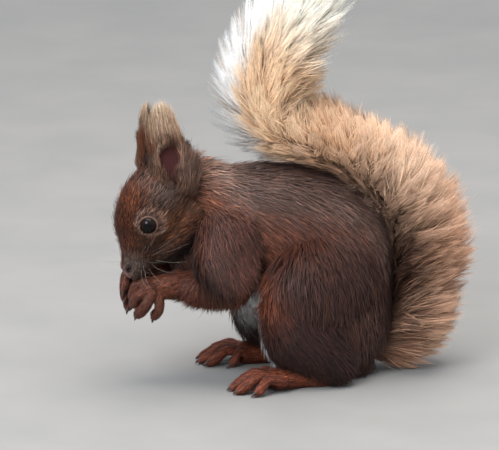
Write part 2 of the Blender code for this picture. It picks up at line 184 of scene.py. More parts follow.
# name: rows of x, y, z, half width, half height, as in the solids
TRUNK = ((-52, 0, 92, 15, 19), (-32, 0, 84, 20, 27), (-11, 0, 77, 26, 33), (6, 0, 63, 30, 39),
         (12, 0, 40, 30, 34), (13, 0, 20, 27, 32), (14, 0, 10, 22, 26))
NECK = ((-61, -1, 98, 13, 17), (-50, 0, 95, 15, 17), (-36, 0, 86, 19, 24))
CHEST = ((-50, 0, 92, 12, 12), (-57, 0, 75, 14, 14), (-48, 0, 58, 15, 13.5))
HEAD = ((2, 0, 1.6, 11.5, 13.1), (10, 0, 3.3, 14.5, 17.7), (20, 0, 2.7, 16.0, 19.7),
        (30, 0, 1.6, 14.6, 17.8), (38, 0, -1.4, 11.2, 13.7), (45, 0, -3.6, 9.1, 9.6),
        (51.5, 0, -4.8, 6.8, 6.4))
CHEEK = ((16, 8.5, -11.0, 8.0, 10.5), (27, 7.5, -11.0, 7.2, 9.4), (39, 4.5, -9.0, 5.2, 5.8))
BROW = ((26, 9.0, 8.5, 4.8, 5.0), (35, 8.2, 7.5, 4.4, 4.4))
TAIL = ((38, 0, 10, 10, 8), (50, 0, 11, 19, 12), (59, 0, 22, 24, 17), (62.5, 0, 40, 27, 20),
        (63.5, 0, 60, 29, 22), (60.5, 0, 80, 30, 22.5), (49.5, 0, 98, 29, 21),
        (33.5, 0, 111, 28, 18), (16, 0, 120, 28, 17.5), (-4, 0, 127, 29, 19),
        (-21, 0, 137, 30, 25), (-16, 0, 161, 31, 26), (-1, 0, 182, 28, 24),
        (7, 0, 199, 23, 21), (12.5, 0, 208, 17.5, 15.5))
TAIL_CORE = ((33, 0, 14, 7, 7), (41, 0, 17, 6.6, 6.6), (48, 0, 27, 6.2, 6.2), (52, 0, 42, 6, 6),
             (53, 0, 60, 5.8, 5.8), (50.5, 0, 78, 5.6, 5.6), (42, 0, 95, 5.4, 5.4),
             (28, 0, 107, 5.2, 5.2), (12, 0, 115.5, 5, 5), (-4, 0, 121.5, 4.8, 4.8),
             (-19, 0, 132, 4.6, 4.6), (-18, 0, 152, 4.2, 4.2), (-8, 0, 172, 3.6, 3.6),
             (0, 0, 186, 3.0, 3.0), (5, 0, 195, 2.2, 2.2))

HEAD_AT = np.array([-59.0, 0.0, 104.5])
HEAD_TURN = (
    Matrix.Rotation(math.radians(11), 4, "Z") @ Matrix.Rotation(math.radians(-53), 4, "Y")
    @ Matrix.Rotation(math.pi, 4, "Z") @ Matrix.Rotation(math.radians(3), 4, "X")
)
TO_BODY = Matrix.Translation(HEAD_AT) @ HEAD_TURN
MIRROR = Matrix.Diagonal((1, -1, 1, 1))
TURN = np.array(HEAD_TURN)[:3, :3]

EYE_AT = np.array([30.1, 9.9, 5.6])
EYE_RADIUS = 4.9
EYE_WAY = unit([0.26, 0.94, 0.20])
EYE_OPEN = math.radians(52)
BOTH = ("left", "right")
OUTWARD = {"left": (1, 1, 1), "right": (1, -1, 1)}
HEAD_SIDE = {"left": TO_BODY, "right": TO_BODY @ MIRROR}

EAR_AT = np.array([7.6, 10.8, 10.5])
EAR_UP = np.array([-0.78, 0.12, 0.62])
EAR_ACROSS = np.array([0.55, -0.42, 0.72])
PINNA = 27.0
TUFT = 15.0
EAR_HALF_WIDTH = 8.3
EAR_POSE = {"left": (0.0, 0.0, 1.0, -0.8), "right": (-25.0, 14.0, 0.86, 5.0)}

SHOULDER = np.array([-38.0, -15.0, 80.0])
ELBOW = np.array([-36.5, -22.5, 53.0])
WRIST = np.array([-66.0, -10.5, 52.0])
PALM = np.array([-74.0, -8.5, 50.0])
HIP = np.array([19.0, -17.0, 60.0])
KNEE = np.array([-19.0, -25.5, 48.5])
HEEL = np.array([11.0, -22.0, 8.0])
BALL = np.array([-17.0, -26.0, 5.0])
RIGHT_ARM = Matrix.Translation((-3.0, -2.5, 2.0)) @ MIRROR
RIGHT_LEG = Matrix.Translation((-5.0, 0.0, 0.0)) @ MIRROR
TOES = (((-9.0, 9.5, -2.4), 2.1), ((-19.5, 5.5, -2.6), 2.5), ((-22.0, -0.5, -2.6), 2.6),
        ((-20.5, -7.5, -2.6), 2.6), ((-13.0, -13.5, -2.4), 2.3))
FINGERS = (((-4.0, -0.5, 3.5), (-9.5, 0.5, 2.5), (-12.0, 4.5, -4.0), 2.5),
           ((-3.5, -2.5, 1.5), (-9.5, -2.5, -2.0), (-11.5, 3.5, -8.5), 2.6),
           ((-3.0, -3.0, -1.0), (-6.5, -4.5, -7.0), (-9.5, 2.0, -13.5), 2.8),
           ((0.5, -2.5, -2.5), (0.0, -4.0, -9.0), (-1.5, 0.5, -14.5), 2.5))
TOE_ARCH = 4.2


def rows(*stations):
    """Rows from pairs of a point and its half width and half height."""
    return [(*p, w, h) for p, w, h in stations]


def mix(a, b, share):
    return a + (b - a) * share


def digit(start, middle, tip, r):
    return rows(
        (start, r * 1.15, r * 1.1), (middle, r * 0.95, r),
        (mix(middle, tip, 0.7), r, r * 1.05), (tip, r * 0.72, r * 0.82),
    )


def toe(offset, arch):
    """Start, knuckle and tip of a toe that ends this far from the ball of the foot."""
    start, tip = BALL + (2.0, offset[1] * 0.55, -0.5), BALL + offset
    return start, mix(start, tip, 0.55) + (0, 0, arch), tip


def body_forms():
    """Every form of flesh: skin depth below the coat's outside, and region."""
    arm = [
        Form(rows((SHOULDER + (0, 2, 4), 10.0, 17.0),
                  (mix(SHOULDER, ELBOW, 0.55) + (-4, 0, 0), 9.5, 18.0),
                  (ELBOW + (-2.5, 0, 2), 8.0, 14.5)), "upper_arm", (4.5, 4.0)),
        Form(rows((ELBOW + (0, 0, 1), 8.0, 10.5), (mix(ELBOW, WRIST, 0.5), 7.0, 9.0),
                  (WRIST + (4, 0, 0), 4.6, 6.0)), "forearm", (3.4, 1.2)),
    ]
    leg = [
        Form(rows((HIP, 15.0, 24.0), (mix(HIP, KNEE, 0.5) + (0, -3, 0), 15.0, 24.0),
                  (KNEE + (4, 0, 0), 9.5, 14.0)), "thigh", (4.6, 4.0)),
        Form(rows((KNEE + (4, 0, -4), 9.0, 13.0), (mix(KNEE, HEEL, 0.5) + (-1, -1, -2), 12.0, 20.0),
                  (HEEL + (0, -3, 4), 12.0, 12.5)), "shank", (4.0, 4.5)),
    ]
    hand = [Form(rows((WRIST + (3, 0, 0), 5.4, 6.8), (PALM, 4.8, 6.4),
                      (PALM + (-3, 0.5, -1), 4.0, 5.4)), "hand", (1.2, 0.8))]
    for start, middle, tip, r in FINGERS:
        hand.append(Form(digit(PALM + start, PALM + middle, PALM + tip, r), "digit", (0.5, 0.35)))
    foot = [Form(rows((HEEL + (4, 0, -3), 5.0, 5.0), (mix(HEEL, BALL, 0.5) + (0, 0, -1), 6.0, 6.0),
                      (BALL, 8.5, 5.4)), "foot", (0.8, 0.8))]
    for offset, r in TOES:
        foot.append(Form(digit(*toe(offset, TOE_ARCH), r), "toe", (0.5, 0.35)))
    torso = [Form(TRUNK, "trunk", (5.0, 5.0)), Form(NECK, "neck", (4.5, 5.0)),
             Form(CHEST, "chest", (4.5, 4.0))]
    torso += arm + [f.turned(RIGHT_ARM) for f in arm] + leg + [f.turned(RIGHT_LEG) for f in leg]
    fine = hand + [f.turned(RIGHT_ARM) for f in hand] + foot + [f.turned(RIGHT_LEG) for f in foot]
    skull = [Form(HEAD, "head", (3.0, 0.7)).turned(TO_BODY)]
    for table, region, coat in ((CHEEK, "cheek", (2.4, 0.9)), (BROW, "brow", (1.6, 1.2))):
        skull += [Form(table, region, coat).turned(HEAD_SIDE[side]) for side in BOTH]
    return torso, fine, skull


def ear_frame(side):
    """Root, axis, across and outward directions of an ear in the left ear's frame, and height."""
    turn, lean, share, ahead = EAR_POSE[side]
    up = np.array(Matrix.Rotation(math.radians(lean), 3, "X") @ Vector(unit(EAR_UP)))
    across = np.array(Matrix.Rotation(math.radians(turn), 3, Vector(up)) @ Vector(EAR_ACROSS))
    across = unit(across - up * (across @ up))
    out = unit(np.cross(across, up))
    if out[1] < 0:
        out = -out
    return EAR_AT + across * ahead, up, across, out, (PINNA + TUFT) * share


def ear_form(side):
    ear_foot, up, across, out, tall = ear_frame(side)
    w = EAR_HALF_WIDTH
    leaf = rows(
        (ear_foot - up * 5.5 - out * 3.2 - across, w * 1.02, 4.4),
        (ear_foot + up * (0.16 * tall) - across * 0.8, w * 1.10, 3.0),
        (ear_foot + up * (0.38 * tall), w * 0.95, 2.2),
        (ear_foot + up * (0.57 * tall) + across * 1.0 + out * 0.4, w * 0.52, 1.6),
    )
    return Form(leaf, "ear", (0, 0), across).turned(HEAD_SIDE[side])


def joined(name, parts):
    """One object from (points, faces) parts in the animal's millimetres."""
    points, faces, base = [], [], 0
    for own_points, own_faces in parts:
        points.append(own_points)
        faces += [[base + i for i in f] for f in own_faces]
        base += len(own_points)
    mesh = bpy.data.meshes.new(name)
    mesh.from_pydata(((np.concatenate(points) + SHIFT) * MM).tolist(), [], faces)
    return placed(name, mesh)


def lofts(name, forms):
    return joined(name, [form.mesh() for form in forms])


def settled(made):
    """The object with its modifiers applied."""
    bpy.context.view_layer.update()
    graph = bpy.context.evaluated_depsgraph_get()
    mesh = bpy.data.meshes.new_from_object(made.evaluated_get(graph), depsgraph=graph)
    made.modifiers.clear()
    old = made.data
    made.data = mesh
    bpy.data.meshes.remove(old)
    return made


def fused(name, objects, voxel, smoothing):
    """Closed objects grown into one skin with rounded creases."""
    with bpy.context.temp_override(active_object=objects[0], selected_editable_objects=objects):
        if len(objects) > 1:
            bpy.ops.object.join()
    made = objects[0]
    made.name = name
    remesh = made.modifiers.new("Fuse", "REMESH")
    remesh.mode = "VOXEL"
    remesh.voxel_size = voxel * MM
    smooth = made.modifiers.new("Round creases", "SMOOTH")
    smooth.factor = 0.5
    smooth.iterations = smoothing
    return settled(made)


def points_of(mesh):
    """A mesh's points in the animal's frame."""
    return read(mesh.vertices, "co", 3).astype(float) / MM - SHIFT


def put_points(mesh, points):
    mesh.vertices.foreach_set("co", ((points + SHIFT) * MM).astype(np.float32).ravel())
    mesh.update()


def step(a, b, x):
    """Smoothstep from 0 at a to 1 at b."""
    t = np.clip((x - a) / (b - a), 0, 1)
    return t * t * (3 - 2 * t)


def to_head(points, side="left"):
    """Points in the head's frame, mirrored for the right so that +Y is always outward."""
    return (points - HEAD_AT) @ TURN * OUTWARD[side]


def from_head(local, side="left"):
    return local * OUTWARD[side] @ TURN.T + HEAD_AT


def away_from_line(p, line):
    """Least distance from points to a polyline."""
    best = np.full(len(p), FAR)
    for a, b in zip(line[:-1], line[1:]):
        a, b = np.array(a, float), np.array(b, float)
        t = np.clip(((p - a) @ (b - a)) / ((b - a) @ (b - a)), 0, 1)
        best = np.minimum(best, np.linalg.norm(p - a - t[:, None] * (b - a), axis=1))
    return best


NOSTRIL = np.array([54.2, 4.1, -1.8])
NOSTRIL_TAIL = (-1.6, 1.3, 0.9)
MOUTH = ((56.2, 0.0, -8.8), (53.4, 3.4, -9.8), (48.6, 5.4, -10.4), (43.0, 6.4, -10.8))
CLEFT = ((57.7, 0, -6.0), (56.2, 0, -8.8))
WHISKER_PAD = (45.5, 5.8, -7.5)
LID_OUT, LID_IN = 0.38, 0.7
NOSTRIL_DEPTH, COMMA_DEPTH, LIP_DEPTH, CLEFT_DEPTH, PAD_HEIGHT = 1.5, 0.7, 0.8, 0.6, 0.7
BOWL_DEPTH, CANAL_DEPTH, EAR_RIM_HEIGHT = 2.5, 2.9, 0.5


def bowl_place(u, v):
    """Below 1 inside the bare bowl of an ear, at places up and across it."""
    return ((u - 10.5) / 8.2) ** 2 + ((v + 1.5) / 6.1) ** 2


def canal_place(u, v):
    """Below 1 inside the notch at the bowl's foot."""
    return ((u + 1.0) / 4.2) ** 2 + ((v + 3.2) / 2.6) ** 2


def sculpt(points, normals):
    """Lids, nostrils, the mouth's line and the bowls of the ears, moved into the fused skin."""
    points = points.copy()
    near = away(points, from_head(np.array([30.0, 0, 0]))) < 75
    for side in BOTH:
        index = np.nonzero(near)[0]
        p = to_head(points[index], side)
        n = normals[index] @ TURN * OUTWARD[side]
        # lids
        d = p - EYE_AT
        dist = np.linalg.norm(d, axis=1)
        way = d / np.maximum(dist, 1e-6)[:, None]
        over = np.arccos(np.clip(way @ EYE_WAY, -1, 1)) - EYE_OPEN
        rim = EYE_RADIUS + LID_OUT + 0.42 * blob((over, 0.20, 0.14))
        target = EYE_RADIUS - LID_IN + (rim - EYE_RADIUS + LID_IN) * step(-0.05, 0.04, over)
        fade = (1 - step(0.30, 0.75, over)) * (1 - step(2.2, 4.2, dist - EYE_RADIUS))
        p = p + way * ((target - dist) * fade * (p[:, 1] > 0))[:, None]
        # nostrils, the groove under the nose and the mouth
        pit = soft(away(p, NOSTRIL, (1.0, 0.9, 0.6)), 0.9)
        comma = soft(away_from_line(p, (NOSTRIL, NOSTRIL + NOSTRIL_TAIL)), 0.35)
        p = p - n * (NOSTRIL_DEPTH * pit + COMMA_DEPTH * comma)[:, None]
        lip = soft(away_from_line(p, MOUTH), 0.5)
        cleft = soft(away_from_line(p, CLEFT), 0.4)
        p = p - n * (LIP_DEPTH * lip + CLEFT_DEPTH * cleft)[:, None]
        pad = soft(away(p, WHISKER_PAD, (1.3, 1, 1)), 14)
        p = p + n * (PAD_HEIGHT * pad)[:, None]
        # the ear's bowl
        ear_foot, up, across, out, _ = ear_frame(side)
        e = p - ear_foot
        u, v, w = e @ up, e @ across, e @ out
        r2 = bowl_place(u, v)
        bowl = np.clip(1 - r2, 0, 1) ** 0.6
        canal = np.clip(1 - canal_place(u, v), 0, 1) ** 0.6
        front = step(-0.4, 0.9, w) * (w < 8) * (u > -5)
        p = p - out * (np.maximum(BOWL_DEPTH * bowl, CANAL_DEPTH * canal) * front)[:, None]
        rim = soft(np.sqrt(r2) - 1.14, 0.015) * front * (u < 20)
        p = p + out * (EAR_RIM_HEIGHT * rim)[:, None]
        points[index] = from_head(p, side)
    return points


# edge of the remeshing grid and rounds of smoothing, for torso, skull and the whole skin
TORSO_GRID, TORSO_ROUNDS = 1.4, 10
SKULL_GRID, SKULL_ROUNDS = 0.8, 5
SKIN_GRID, SKIN_ROUNDS = 0.45, 3
SKIN_TRIANGLES = 180000
SKIN_FLOOR, TUFT_FLOOR = 0.12, 0.15


def build_skin():
    """The fused and sculpted skin, and the forms it was made from."""
    torso, fine, skull = body_forms()
    r = EYE_RADIUS + LID_IN
    ball = Form(rows(*((EYE_AT + (x, 0, 0), r, r) for x in (-0.3, 0, 0.3))), "lid")
    balls = [ball.turned(HEAD_SIDE[side]) for side in BOTH]
    ears = [ear_form(side) for side in BOTH]
    core = Form(TAIL_CORE, "tail_core")
    rough = fused("torso", [lofts("torso", torso)], TORSO_GRID, TORSO_ROUNDS)
    skull_mesh = fused("skull", [lofts("skull", skull)], SKULL_GRID, SKULL_ROUNDS)
    extra = lofts("extra", balls + ears + [core] + fine)
    skin = fused("skin", [rough, skull_mesh, extra], SKIN_GRID, SKIN_ROUNDS)
    normals = read(skin.data.vertices, "normal", 3).astype(float)
    points = sculpt(points_of(skin.data), normals)
    points[:, 2] = np.maximum(points[:, 2], SKIN_FLOOR)
    put_points(skin.data, points)
    soften = skin.modifiers.new("Soften cuts", "SMOOTH")
    soften.factor = 0.5
    soften.iterations = 2
    count = sum(len(p.vertices) - 2 for p in skin.data.polygons)
    fewer = skin.modifiers.new("Fewer faces", "DECIMATE")
    fewer.ratio = min(1.0, SKIN_TRIANGLES / count)
    settled(skin)
    return skin, torso + fine + skull + ears + [core]


# ---------------------------------------------------------------- the lie of the coat

# region: length, root width and height of a tuft's tip above the skin
STYLE = {
    "trunk": (10.5, 0.44, 4.7), "neck": (9.0, 0.42, 4.3), "chest": (9.5, 0.46, 3.9),
    "upper_arm": (8.0, 0.40, 3.9), "forearm": (5.8, 0.36, 2.3), "hand": (3.2, 0.38, 0.9),
    "digit": (2.4, 0.34, 0.45), "thigh": (9.5, 0.42, 4.4), "shank": (8.0, 0.42, 3.9),
    "foot": (3.8, 0.40, 0.9), "toe": (2.8, 0.36, 0.5), "ear": (5.0, 0.32, 1.2),
    "tail_core": (9.0, 0.50, 3.5),
}
# region: share of the form's own direction, and a pull in the animal's frame
LIE = {
    "trunk": (1.0, (0.10, 0, -0.35)), "neck": (1.0, (0.25, 0, -0.20)),
    "chest": (1.0, (0.10, 0, -0.30)), "upper_arm": (0.7, (0.45, 0, -0.50)),
    "forearm": (0.5, (0.25, 0, -0.70)), "hand": (1.0, (0, 0, 0)), "digit": (1.0, (0, 0, 0)),
    "thigh": (0.1, (0.22, 0, -1.00)), "shank": (0.6, (0.35, 0, -0.50)),
    "foot": (1.0, (0, 0, 0)), "toe": (1.0, (0, 0, 0)), "ear": (1.0, (0, 0, 0)),
    "head": (-1.0, (0, 0, -0.10)), "cheek": (-1.0, (0, 0, -0.30)), "brow": (-1.0, (0, 0, 0)),
    "tail_core": (1.0, (0, 0, 0)),
}
HEAD_X = (0, 20, 40, 56)
HEAD_STYLE = ((6.4, 4.8, 3.0, 1.5), (0.48, 0.42, 0.34, 0.26), (2.7, 2.1, 1.3, 0.55))


def near_form(form, points):
    """Distance outside a form's surface, nearest axis sample, and height within it, -1 to 1."""
    low = (form.at - form.size.max(1)[:, None]).min(0) - 9
    high = (form.at + form.size.max(1)[:, None]).max(0) + 9
    inside = np.nonzero(((points > low) & (points < high)).all(1))[0]
    best = np.full(len(inside), FAR)
    which = np.zeros(len(inside), int)
    tall = np.zeros(len(inside))
    p = points[inside]
    for i in range(len(form.at)):
        d = p - form.at[i]
        w, h = form.size[i]
        rise = d @ form.rise[i] / h
        q = np.sqrt((d @ form.side[i] / w) ** 2 + rise**2 + (d @ form.way[i] / min(w, h)) ** 2)
        gap = (q - 1) * (w + h) / 2
        closer = gap < best
        best[closer], which[closer] = gap[closer], i
        tall[closer] = rise[closer]
    return inside, best, which, tall


def survey(points, normals, forms):
    """For each point: direction, tuft style, share of each region and its place on the trunk."""
    flow = np.zeros_like(points)
    style = np.zeros((len(points), 3))
    total = np.full(len(points), 1e-6)
    share = {}
    dorsal = np.zeros(len(points))
    for form in forms:
        inside, gap, which, tall = near_form(form, points)
        weight = np.exp(-np.maximum(gap, 0) / 1.1)
        own, pull = LIE[form.region]
        flow[inside] += weight[:, None] * (form.way[which] * own + np.array(pull))
        if form.region in STYLE:
            kind = np.tile(STYLE[form.region], (len(inside), 1))
        else:
            x = to_head(points[inside])[:, 0]
            kind = np.stack([np.interp(x, HEAD_X, row) for row in HEAD_STYLE], 1)
        style[inside] += weight[:, None] * kind
        total[inside] += weight
        dorsal[inside] += weight * tall
        share.setdefault(form.region, np.zeros(len(points)))[inside] += weight
    for region in share:
        share[region] /= total
    flow -= normals * (flow * normals).sum(1)[:, None]
    return unit(flow), style / total[:, None], share, dorsal / total


def relax(values, edges, rounds):
    """Values at vertices averaged with their neighbours."""
    count = len(values)
    a = np.concatenate([edges[:, 0], edges[:, 1]])
    b = np.concatenate([edges[:, 1], edges[:, 0]])
    degree = np.maximum(np.bincount(a, minlength=count), 1)
    for _ in range(rounds):
        around = np.stack(
            [np.bincount(a, weights=values[b, k], minlength=count) for k in range(values.shape[1])], 1
        )
        values = 0.5 * values + 0.5 * around / degree[:, None]
    return values


WAVES, WAVES_IN_SUM = 24, 6
wave_chance = np.random.default_rng(5)
WAVE_WAYS = unit(wave_chance.normal(size=(WAVES, 3)))
WAVE_STARTS = wave_chance.uniform(0, 2 * np.pi, WAVES)


def ripple(points, size, first=0):
    """Smooth variation from -1 to 1 with features of about this size."""
    total = np.zeros(len(points))
    for k in range(WAVES_IN_SUM):
        j = (first + k) % WAVES
        bend = np.sin(points @ WAVE_WAYS[(j + 7) % WAVES] * (3.1 / size) + WAVE_STARTS[(j + 3) % WAVES])
        total += np.sin(points @ WAVE_WAYS[j] * (2 * np.pi / size) + WAVE_STARTS[j] + 1.3 * bend)
    return total / 3.2


# ---------------------------------------------------------------- the markings, with painted shade and sheen

def linear(r, g, b):
    c = np.array([r, g, b]) / 255
    return np.where(c <= 0.04045, c / 12.92, ((c + 0.055) / 1.055) ** 2.4)


def shades(*rows):
    """Linear colours from rows of red, green and blue up to 255."""
    return np.array([linear(*row) for row in rows])


PAINT = {
    "trunk": (85, 57, 45), "neck": (112, 85, 76), "chest": (74, 47, 37), "upper_arm": (80, 47, 36),
    "forearm": (68, 40, 33), "hand": (94, 52, 34), "digit": (91, 51, 37), "thigh": (63, 40, 34),
    "shank": (49, 26, 21), "foot": (122, 60, 34), "toe": (112, 57, 38), "ear": (92, 63, 47),
    "head": (104, 66, 46), "cheek": (100, 72, 57), "brow": (98, 68, 52), "tail_core": (54, 31, 20),
}
PAINT = {region: linear(*shade) for region, shade in PAINT.items()}
CREAM = linear(250, 248, 250)
RUST = linear(112, 54, 28)
NAPE = linear(140, 108, 92)
ORANGE = linear(112, 64, 40)
EAR_RIM = linear(160, 128, 106)
# painted shade: a dark brown laid where shade falls, under the arms and jaw, low on the haunch, inside
# the ears and nostrils
PAINTED_SHADE = linear(26, 14, 10)
GREY = linear(130, 112, 106)
EYE_RING = linear(142, 108, 92)
TAWNY = linear(158, 94, 52)
NOSE = linear(112, 82, 74)
FOREHEAD = linear(146, 76, 42)
TEMPLE = linear(136, 121, 113)
EAR_SKIN = linear(72, 34, 32)
LID_SKIN = linear(40, 26, 22)

TORSO, SKULL = ("trunk", "neck", "chest"), ("head", "cheek", "brow")
LEGS, ARMS = ("thigh", "shank"), ("upper_arm", "forearm")
PAWS = ("hand", "digit", "foot", "toe")


def part(share, regions):
    return sum(share[r] for r in regions)


def painted(colour, *rules):
    """A colour moved towards each rule's target in turn, by the rule's amount."""
    for target, amount in rules:
        colour = colour + (target - colour) * np.clip(amount, 0, 1)[:, None]
    return colour


def body_markings_with_painted_shade_and_sheen(points, normals, share, dorsal):
    x, y, z = points.T
    wide = np.abs(y)
    body, legs, arms = part(share, TORSO), part(share, LEGS), part(share, ARMS)
    flank = step(0.5, 0.0, dorsal) * step(-0.8, -0.2, dorsal) * step(20, 0, x)
    belly = body * step(-0.25, -0.62, dorsal) * step(58, 50, z)
    belly = np.maximum(belly, share["chest"] * step(7, 3, wide) * step(58, 50, z))
    inner = (legs + arms) * step(0.35, 0.8, -normals[:, 1] * np.sign(y)) * step(0.5, 0.1, normals[:, 2])
    painted_shade_under = (arms + share["chest"]) * step(0.45, -0.15, normals[:, 2])
    return painted(
        sum(share[r][:, None] * PAINT[r] for r in share),
        # paler grey on the nape and along the top of the back, partly the hair's own grizzled colour and
        # partly a painted sheen of light from above; warmer flanks, white below
        (NAPE, 0.75 * (body + share["head"]) * step(94, 105, z) * step(-26, -46, x)),
        (GREY, 0.25 * body * step(0.3, 0.9, dorsal)),
        (RUST, 0.50 * body * flank),
        (CREAM, belly),
        (CREAM, 0.7 * inner * step(22, 34, z)),
        # rust along the knee fold and the front of the thigh, and painted shade low on the haunch
        (0.34 * RUST, blob((x, -6, 17), (z, 75, 10)) * step(10, 24, wide) * (legs + body)),
        (RUST, 0.7 * blob((x, -22, 7), (z, 52, 14)) * legs),
        (PAINTED_SHADE, 0.45 * (legs + body * step(-10, 10, x)) * step(44, 16, z) * (1 - belly)),
        (PAINT["thigh"], 0.8 * body * step(72, 50, z) * step(-4, 12, x) * (1 - belly)),
        # painted shade under the arms and chest, rust on the forearms and hands
        (PAINTED_SHADE, 0.95 * painted_shade_under * step(4, 9, wide)),
        (RUST, 0.35 * share["forearm"] + 0.4 * share["hand"] * step(-60, -72, x)),
    )


def face_markings_with_painted_shade(colour, points, share):
    h = to_head(points)
    h[:, 1] = np.abs(h[:, 1])
    skull = part(share, SKULL)
    ahead, out, tall = h.T
    outer = step(6, 10, out)
    pad = step(44, 50, ahead) * step(6, 2, tall) * step(-9, -5, tall) * step(0.5, 2.5, out)
    scruff = blob((ahead, 4, 7), (tall, -7, 10)) * step(6, 11, out)
    colour = painted(
        colour,
        (FOREHEAD, 0.65 * skull * step(12.5, 6.5, out) * step(-2, 7, tall) * step(2, 12, ahead)),
        (TEMPLE, 0.45 * skull * blob((ahead, 15, 9), (tall, 8, 8)) * step(8, 12, out)),
        (TEMPLE, 0.7 * skull * blob((ahead, 13, 6), (tall, 20, 4), (out, 6, 4))),
        # jowl, under the eye, whisker pad, jaw and scruff
        (TAWNY, 0.5 * skull * blob((ahead, 22, 11), (tall, -8, 6)) * outer),
        (TAWNY, 0.55 * skull * blob((ahead, 27, 9), (tall, -1, 3.5)) * outer),
        (TEMPLE, 0.55 * skull * pad),
        (ORANGE, 0.75 * skull * step(42, 34, ahead) * step(-6, -10, tall) * step(4, 8, out)),
        (ORANGE, 0.55 * scruff * (skull + part(share, TORSO))),
        # painted shade under the jaw, then a white chin
        (PAINTED_SHADE, 0.85 * skull * step(-11, -15, tall) * step(46, 40, ahead)),
        (CREAM, 0.30 * skull * step(-15, -19, tall) * step(5, 1.5, out)),
    )
    dim = 0.55 * skull * step(4, 12, ahead)
    dim_bridge = 0.28 * skull * step(28, 36, ahead) * step(48, 44, ahead)
    ring = away(h, EYE_AT)
    nose = away(h, (56.9, 0, -3.4), (1.0, 1.15, 1.0))
    nostril = away(h, NOSTRIL, (1.3, 1.0, 0.8))
    return painted(
        colour * ((1 - dim) * (1 - dim_bridge))[:, None],
        (EYE_RING, 0.80 * step(7.8, 6.6, ring) * (out > 4)),
        (LID_SKIN, (out > 4) * step(EYE_RADIUS + 0.75, EYE_RADIUS + 0.3, ring)),
        (NOSE, step(5.2, 3.8, nose)),
        # painted shade inside the nostrils
        (0.4 * PAINTED_SHADE, step(1.9, 1.2, nostril)),
    )


def markings_with_painted_shade_and_sheen(points, normals, share, dorsal):
    """The coat's mean colour at points on the skin, with painted shade and sheen."""
    colour = body_markings_with_painted_shade_and_sheen(points, normals, share, dorsal)
    # painted shade: dark inner faces of both ears, and a dark front on the far one
    for side in BOTH:
        u, v, w = ear_places(points, side)
        shell = share["ear"] * ((points[:, 1] < 0) == (side == "left"))
        face = step(0.3, -0.8, w) * step(8.0, 6.8, np.abs(v)) * step(3, 7, u) * step(32, 27, u)
        front = (side == "right") * step(0, 3, v) * step(4, 8, u) * step(28, 22, u)
        colour = painted(colour, (1.6 * PAINTED_SHADE, 0.85 * shell * face), (2.0 * PAINTED_SHADE, 0.8 * shell * front))
    colour = face_markings_with_painted_shade(colour, points, share)
    mottle = 1 + 0.10 * ripple(points, 13) + 0.10 * ripple(points, 4.5, 6)
    return np.clip(colour * mottle[:, None], 0.003, 0.9)


def ear_places(points, side):
    """Coordinates up, across and out of an ear, for points in the animal's frame."""
    ear_foot, up, across, out, _ = ear_frame(side)
    e = to_head(points, side) - ear_foot
    return e @ up, e @ across, e @ out


def bare(points, share):
    """1 where no tufts grow: lids, nose pad, bowls of the ears and soles."""
    h = to_head(points)
    h[:, 1] = np.abs(h[:, 1])
    lids = step(EYE_RADIUS + 1.0, EYE_RADIUS + 0.55, away(h, EYE_AT)) * (h[:, 1] > 4)
    nose = step(4.4, 3.4, away(h, (57.6, 0, -3.6), (1.0, 1.15, 0.9)))
    none = np.maximum.reduce([lids, nose, step(2.3, 1.5, away(h, NOSTRIL))])
    for side in BOTH:
        u, v, w = ear_places(points, side)
        hollow = np.maximum(step(1.1, 0.9, bowl_place(u, v)), step(1.1, 0.9, canal_place(u, v)))
        none = np.maximum(none, hollow * (w > -1.6) * (w < 3.2) * (share["ear"] > 0.3))
    return none


# ---------------------------------------------------------------- tufts

coats = []
PATCH = 0.003
TO_LIGHT = (-0.40, -0.40, 0.82)
RING = np.array([[1.0, -0.45], [-1.0, -0.45], [0.0, 0.9]])
THICK = 0.5
SPINDLE = np.array([(0, 2, 1), (0, 3, 2), (0, 1, 3), (1, 2, 4), (2, 3, 4), (3, 1, 4)])


